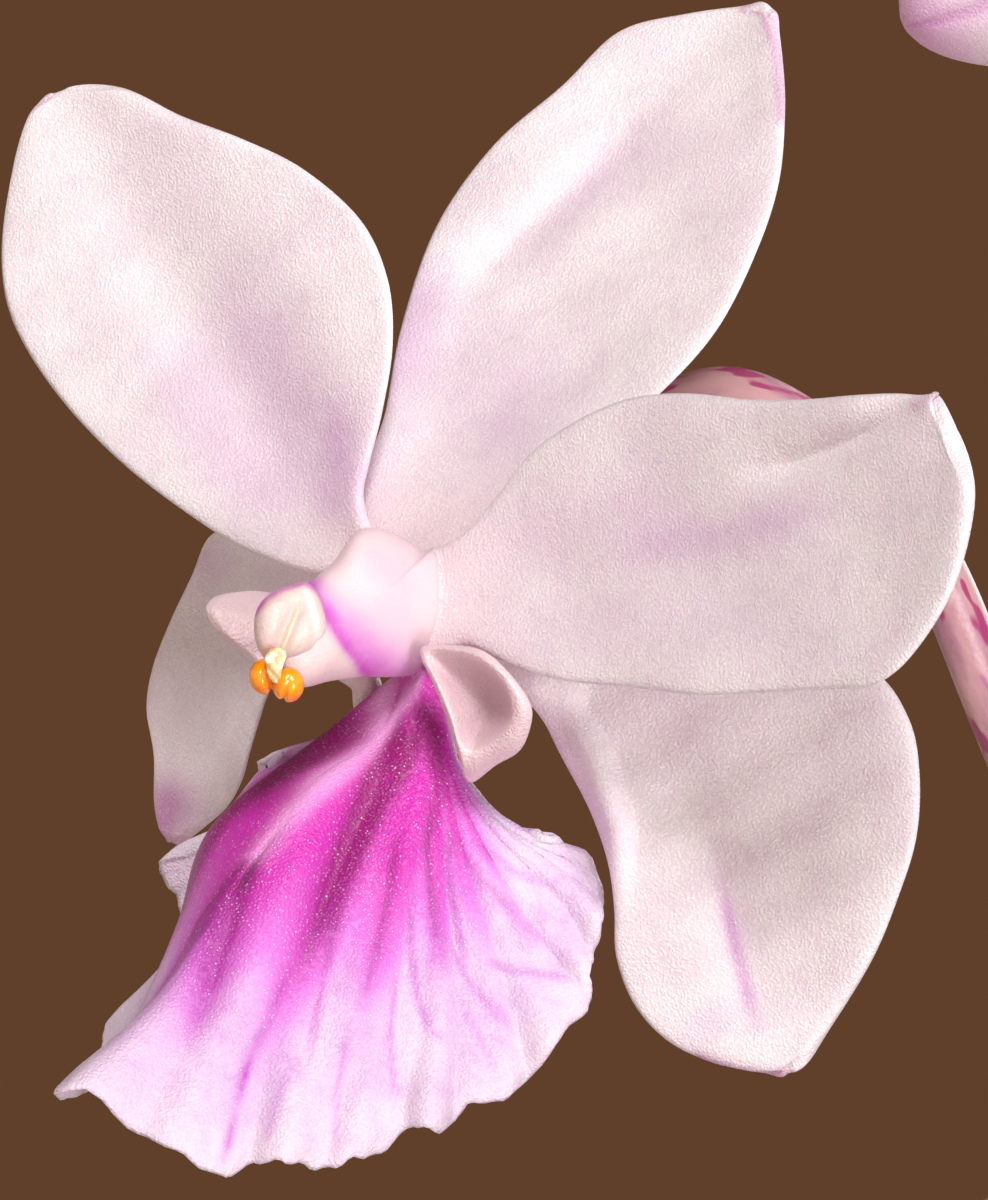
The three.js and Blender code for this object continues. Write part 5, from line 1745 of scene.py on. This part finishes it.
def pollinium_shape(centre, tilt, around, along):
    """A ball, longer than wide by an eighth, with a groove round its lower half that narrows its
    radius by exp(-(angle from the groove / width)^2), tilted about the line of sight."""
    polar = np.linspace(POLLINIUM_POLE_GAP, np.pi - POLLINIUM_POLE_GAP, along)[:, None]
    turn = full_turn(around)[None, :]
    out = np.sin(polar)
    ball = np.stack([out * np.cos(turn), out * np.sin(turn), np.cos(polar) + 0 * turn], axis=-1)[::-1]
    off_groove = np.arcsin(np.clip(ball[..., 0] * math.cos(tilt) + ball[..., 1] * math.sin(tilt), -1, 1))
    lower_half = np.clip(0.6 - ball[..., 1], 0, 1)
    radius = POLLINIUM_RADIUS * (1 - CLEFT_DEPTH * np.exp(-(off_groove / CLEFT_WIDTH) ** 2) * lower_half)
    return tube(ball * radius[..., None] * POLLINIUM_STRETCH + np.array(centre))


def strap_shape(around, along):
    """Rings down the strap: at each station an ellipse through both edges, of the half-depth
    square to the edges and to the way on, crinkled by two crossed sines."""
    rows = smooth(STRAP_STATIONS, np.linspace(0, 1, along))
    upper, lower, depth = rows[:, :3], rows[:, 3:6], rows[:, 6:]
    centre, edge = (upper + lower) / 2, (upper - lower) / 2
    side = unit(np.cross(unit(np.gradient(centre, axis=0)), edge)) * depth
    turn = full_turn(around)[None, :, None]
    rings = centre[:, None] + np.cos(turn) * edge[:, None] + np.sin(turn) * side[:, None]
    rings[..., 2] += 0.07 * np.sin(rings[..., 0] * 17) * np.sin(rings[..., 1] * 15 + 1)
    return tube(rings)


def pollen_material():
    """Deep orange wax, glossy and faintly grained."""
    pollen = Finish(
        "orange_pollen_wax", Roughness=0.22, Specular_IOR_Level=0.6, Subsurface_Weight=0.35,
        Subsurface_Scale=0.0005, Subsurface_Radius=(1.0, 0.5, 0.1), Coat_Weight=0.3, Coat_Roughness=0.12
    )
    pollen.mottle(pollen.noise(1400.0), 0.35, 0.65, srgb(250, 158, 12), srgb(238, 122, 4))
    pollen.bump(pollen.noise(3500.0, 2.0), 0.00004, 0.4)
    return pollen.done()


def strap_material():
    """Half-clear and wet looking, ivory."""
    strap = Finish(
        "clear_strap", Roughness=0.25, Specular_IOR_Level=0.5, Subsurface_Weight=0.4, Subsurface_Scale=0.0006
    )
    clouds = strap.noise(2600.0)
    strap.mottle(clouds, 0.4, 0.62, srgb(252, 242, 214), srgb(226, 196, 140))
    strap.bump(clouds, 0.0001, 0.8)
    return strap.done()


pollen_wax = pollen_material()
for number, (centre, tilt) in enumerate(POLLINIA):
    node = f"flower_1_pollinium_{number + 1}"
    shape = placed(pollinium_shape(centre, tilt, *POLLINIUM_GRID), FLOWER_SEATS["flower_1"])
    add_piece(f"{node}_ball", shape, pollen_wax, [node])
strap = placed(strap_shape(*STRAP_GRID), FLOWER_SEATS["flower_1"])
add_piece("flower_1_stipe_strap", strap, strap_material(), ["flower_1_stipe"])

# Buds
# Near the tip the flowers are still closed: nodding eggs of three overlapping sepals that meet in
# seams, greenish white at the foot and purple at the point, on short arched stalks.
BUD_STALK_GRID = (24, 60)
BUD_GRID = (72, 60)
BUD_SEAMS = 3
SEAM_TURN = 0.35
SEAM_DEPTH_SHARE = 0.06
# Height of the stalk's foot up the spike, side, turn about the upright in degrees, and scale.
BUDS = [
    (298, 1, 0, 1.0),
    (318, -1, 10, 0.78),
    (332, 1, 24, 0.55),
]
# Rows of x, y and z from the stalk's foot, and radius.
BUD_STALK = [
    [2.2, 0.0, -1.2, 0.8],
    [0.0, 0.0, 0.0, 0.85],
    [-5.5, -0.5, 4.2, 0.85],
    [-12.0, -1.2, 7.0, 0.9],
    [-18.5, -2.0, 6.2, 0.95],
    [-22.3, -2.4, 3.0, 1.15],
    [-23.3, -2.55, 1.2, 1.5],
]
BUD_BODY = [
    [-23.0, -2.5, 1.9, 1.5],
    [-24.3, -2.7, -0.6, 3.3],
    [-26.0, -2.9, -3.8, 4.1],
    [-27.9, -3.2, -7.3, 3.5],
    [-29.7, -3.4, -10.9, 1.6],
]


def bud_seam(turn, width):
    """1 at each seam between two sepals, falling off as exp(-(sine of the angle off it/width)^2)."""
    return np.exp(-(np.sin(BUD_SEAMS * turn / 2 + SEAM_TURN) / width) ** 2)


def bud_relief(run, turn):
    """Narrows the egg by its share in a sharp seam between each two sepals."""
    return -SEAM_DEPTH_SHARE * bud_seam(turn, 0.14) + 0 * run


def bud_shape():
    """The egg, painted with its share of the way from foot to point and with its seams."""
    shape = strand(BUD_BODY, *BUD_GRID, bud_relief)
    paint = shape["paint"]
    paint["share"] = paint["run"] / paint["run"].max()
    paint["seam"] = bud_seam(np.arctan2(paint["turn_y"], paint["turn_x"]), 0.2)
    return shape


def bud_material():
    """Pinkish white, greener at the foot, flushed and pointed with purple, magenta in the seams, with painted
    glints in some cells.
    """
    bud = Finish(
        "closed_bud", Roughness=0.45, Subsurface_Weight=0.3, Subsurface_Scale=0.0008,
        Subsurface_Radius=(1.0, 0.6, 0.8)
    )
    share = bud.painted("share")
    bud.mottle(bud.noise(300.0, 4.0), 0.35, 0.66, srgb(232, 212, 226), srgb(222, 188, 212))
    bud.cover(bud.eased(share, 0.0, 0.35, 0.7, 0.0), srgb(206, 206, 168))
    bud.stain(share, 0.86, 1.0, 0.6, srgb(204, 120, 188))
    bud.cover(bud.product(bud.painted("seam"), 0.45), srgb(190, 100, 176))
    dome, painted_glint = domes_and_painted_glints(bud, 5.0)
    # Painted highlight: white glints in the middle of some cells.
    bud.cover(bud.product(painted_glint, 0.6), (1.0, 0.98, 1.0, 1.0))
    bud.bump(dome, 0.00004, 0.4)
    return bud.done()


bud_skin = bud_material()
for number, row in enumerate(BUDS):
    node = f"bud_{number + 1}"
    seat = spike_seat(*row)
    add_piece(f"{node}_sepals", placed(bud_shape(), seat), bud_skin, [node])
    stalk = placed(strand(BUD_STALK, *BUD_STALK_GRID), seat)
    add_piece(f"{node}_pedicel_stalk", stalk, stalk_flesh, [f"{node}_pedicel"])

# Studio
# A plain pale floor, a plain brown surround, and three soft lamps: a large one up and to the
# left in front, a weaker one to the right, and one behind to lift the margins.
FLOOR_RADIUS = 1900.0
FLOOR_DROP = 0.2
FLOOR_SIDES = 96
SURROUND = srgb(96, 64, 42)
# Name, place in metres, width in metres and watts of each lamp.
LAMPS = [
    ("key_lamp", (-0.8, -2.15, 1.75), 0.85, 70.0),
    ("fill_lamp", (1.5, -2.3, 0.9), 1.1, 50.0),
    ("back_lamp", (0.75, 2.1, 1.8), 1.3, 28.0),
]
LAMP_TARGET = np.array([0.0, 0.0, 0.22])


def floor_disc():
    """A flat disc just under the pot's foot, as one face inside a circle."""
    turn = full_turn(FLOOR_SIDES)
    rim = np.stack([FLOOR_RADIUS * np.cos(turn), FLOOR_RADIUS * np.sin(turn), 0 * turn - FLOOR_DROP], axis=-1)
    return {"points": rim, "quads": np.arange(len(rim))[None], "triangles": np.zeros((0, 3), int)}


def floor_material():
    """Pale matt board with a faint cloudiness."""
    board = Finish("pale_floor", Roughness=0.7)
    board.mottle(board.noise(3.0), 0.3, 0.7, srgb(214, 208, 200), srgb(206, 200, 192))
    return board.done()


floor = mesh_object("floor", floor_disc())
floor.data.materials.append(floor_material())
world = bpy.data.worlds.new("surround")
world.use_nodes = True
world.node_tree.nodes["Background"].inputs["Color"].default_value = SURROUND
world.node_tree.nodes["Background"].inputs["Strength"].default_value = 1.0
bpy.context.scene.world = world
for name, place, size, watts in LAMPS:
    light = bpy.data.lights.new(name, "AREA")
    light.shape = "DISK"
    light.size = size
    light.energy = watts
    lamp = bpy.data.objects.new(name, light)
    aim = Vector(LAMP_TARGET - np.array(place))
    lamp.matrix_world = Matrix.Translation(place) @ aim.to_track_quat("-Z", "Y").to_matrix().to_4x4()
    bpy.context.scene.collection.objects.link(lamp)
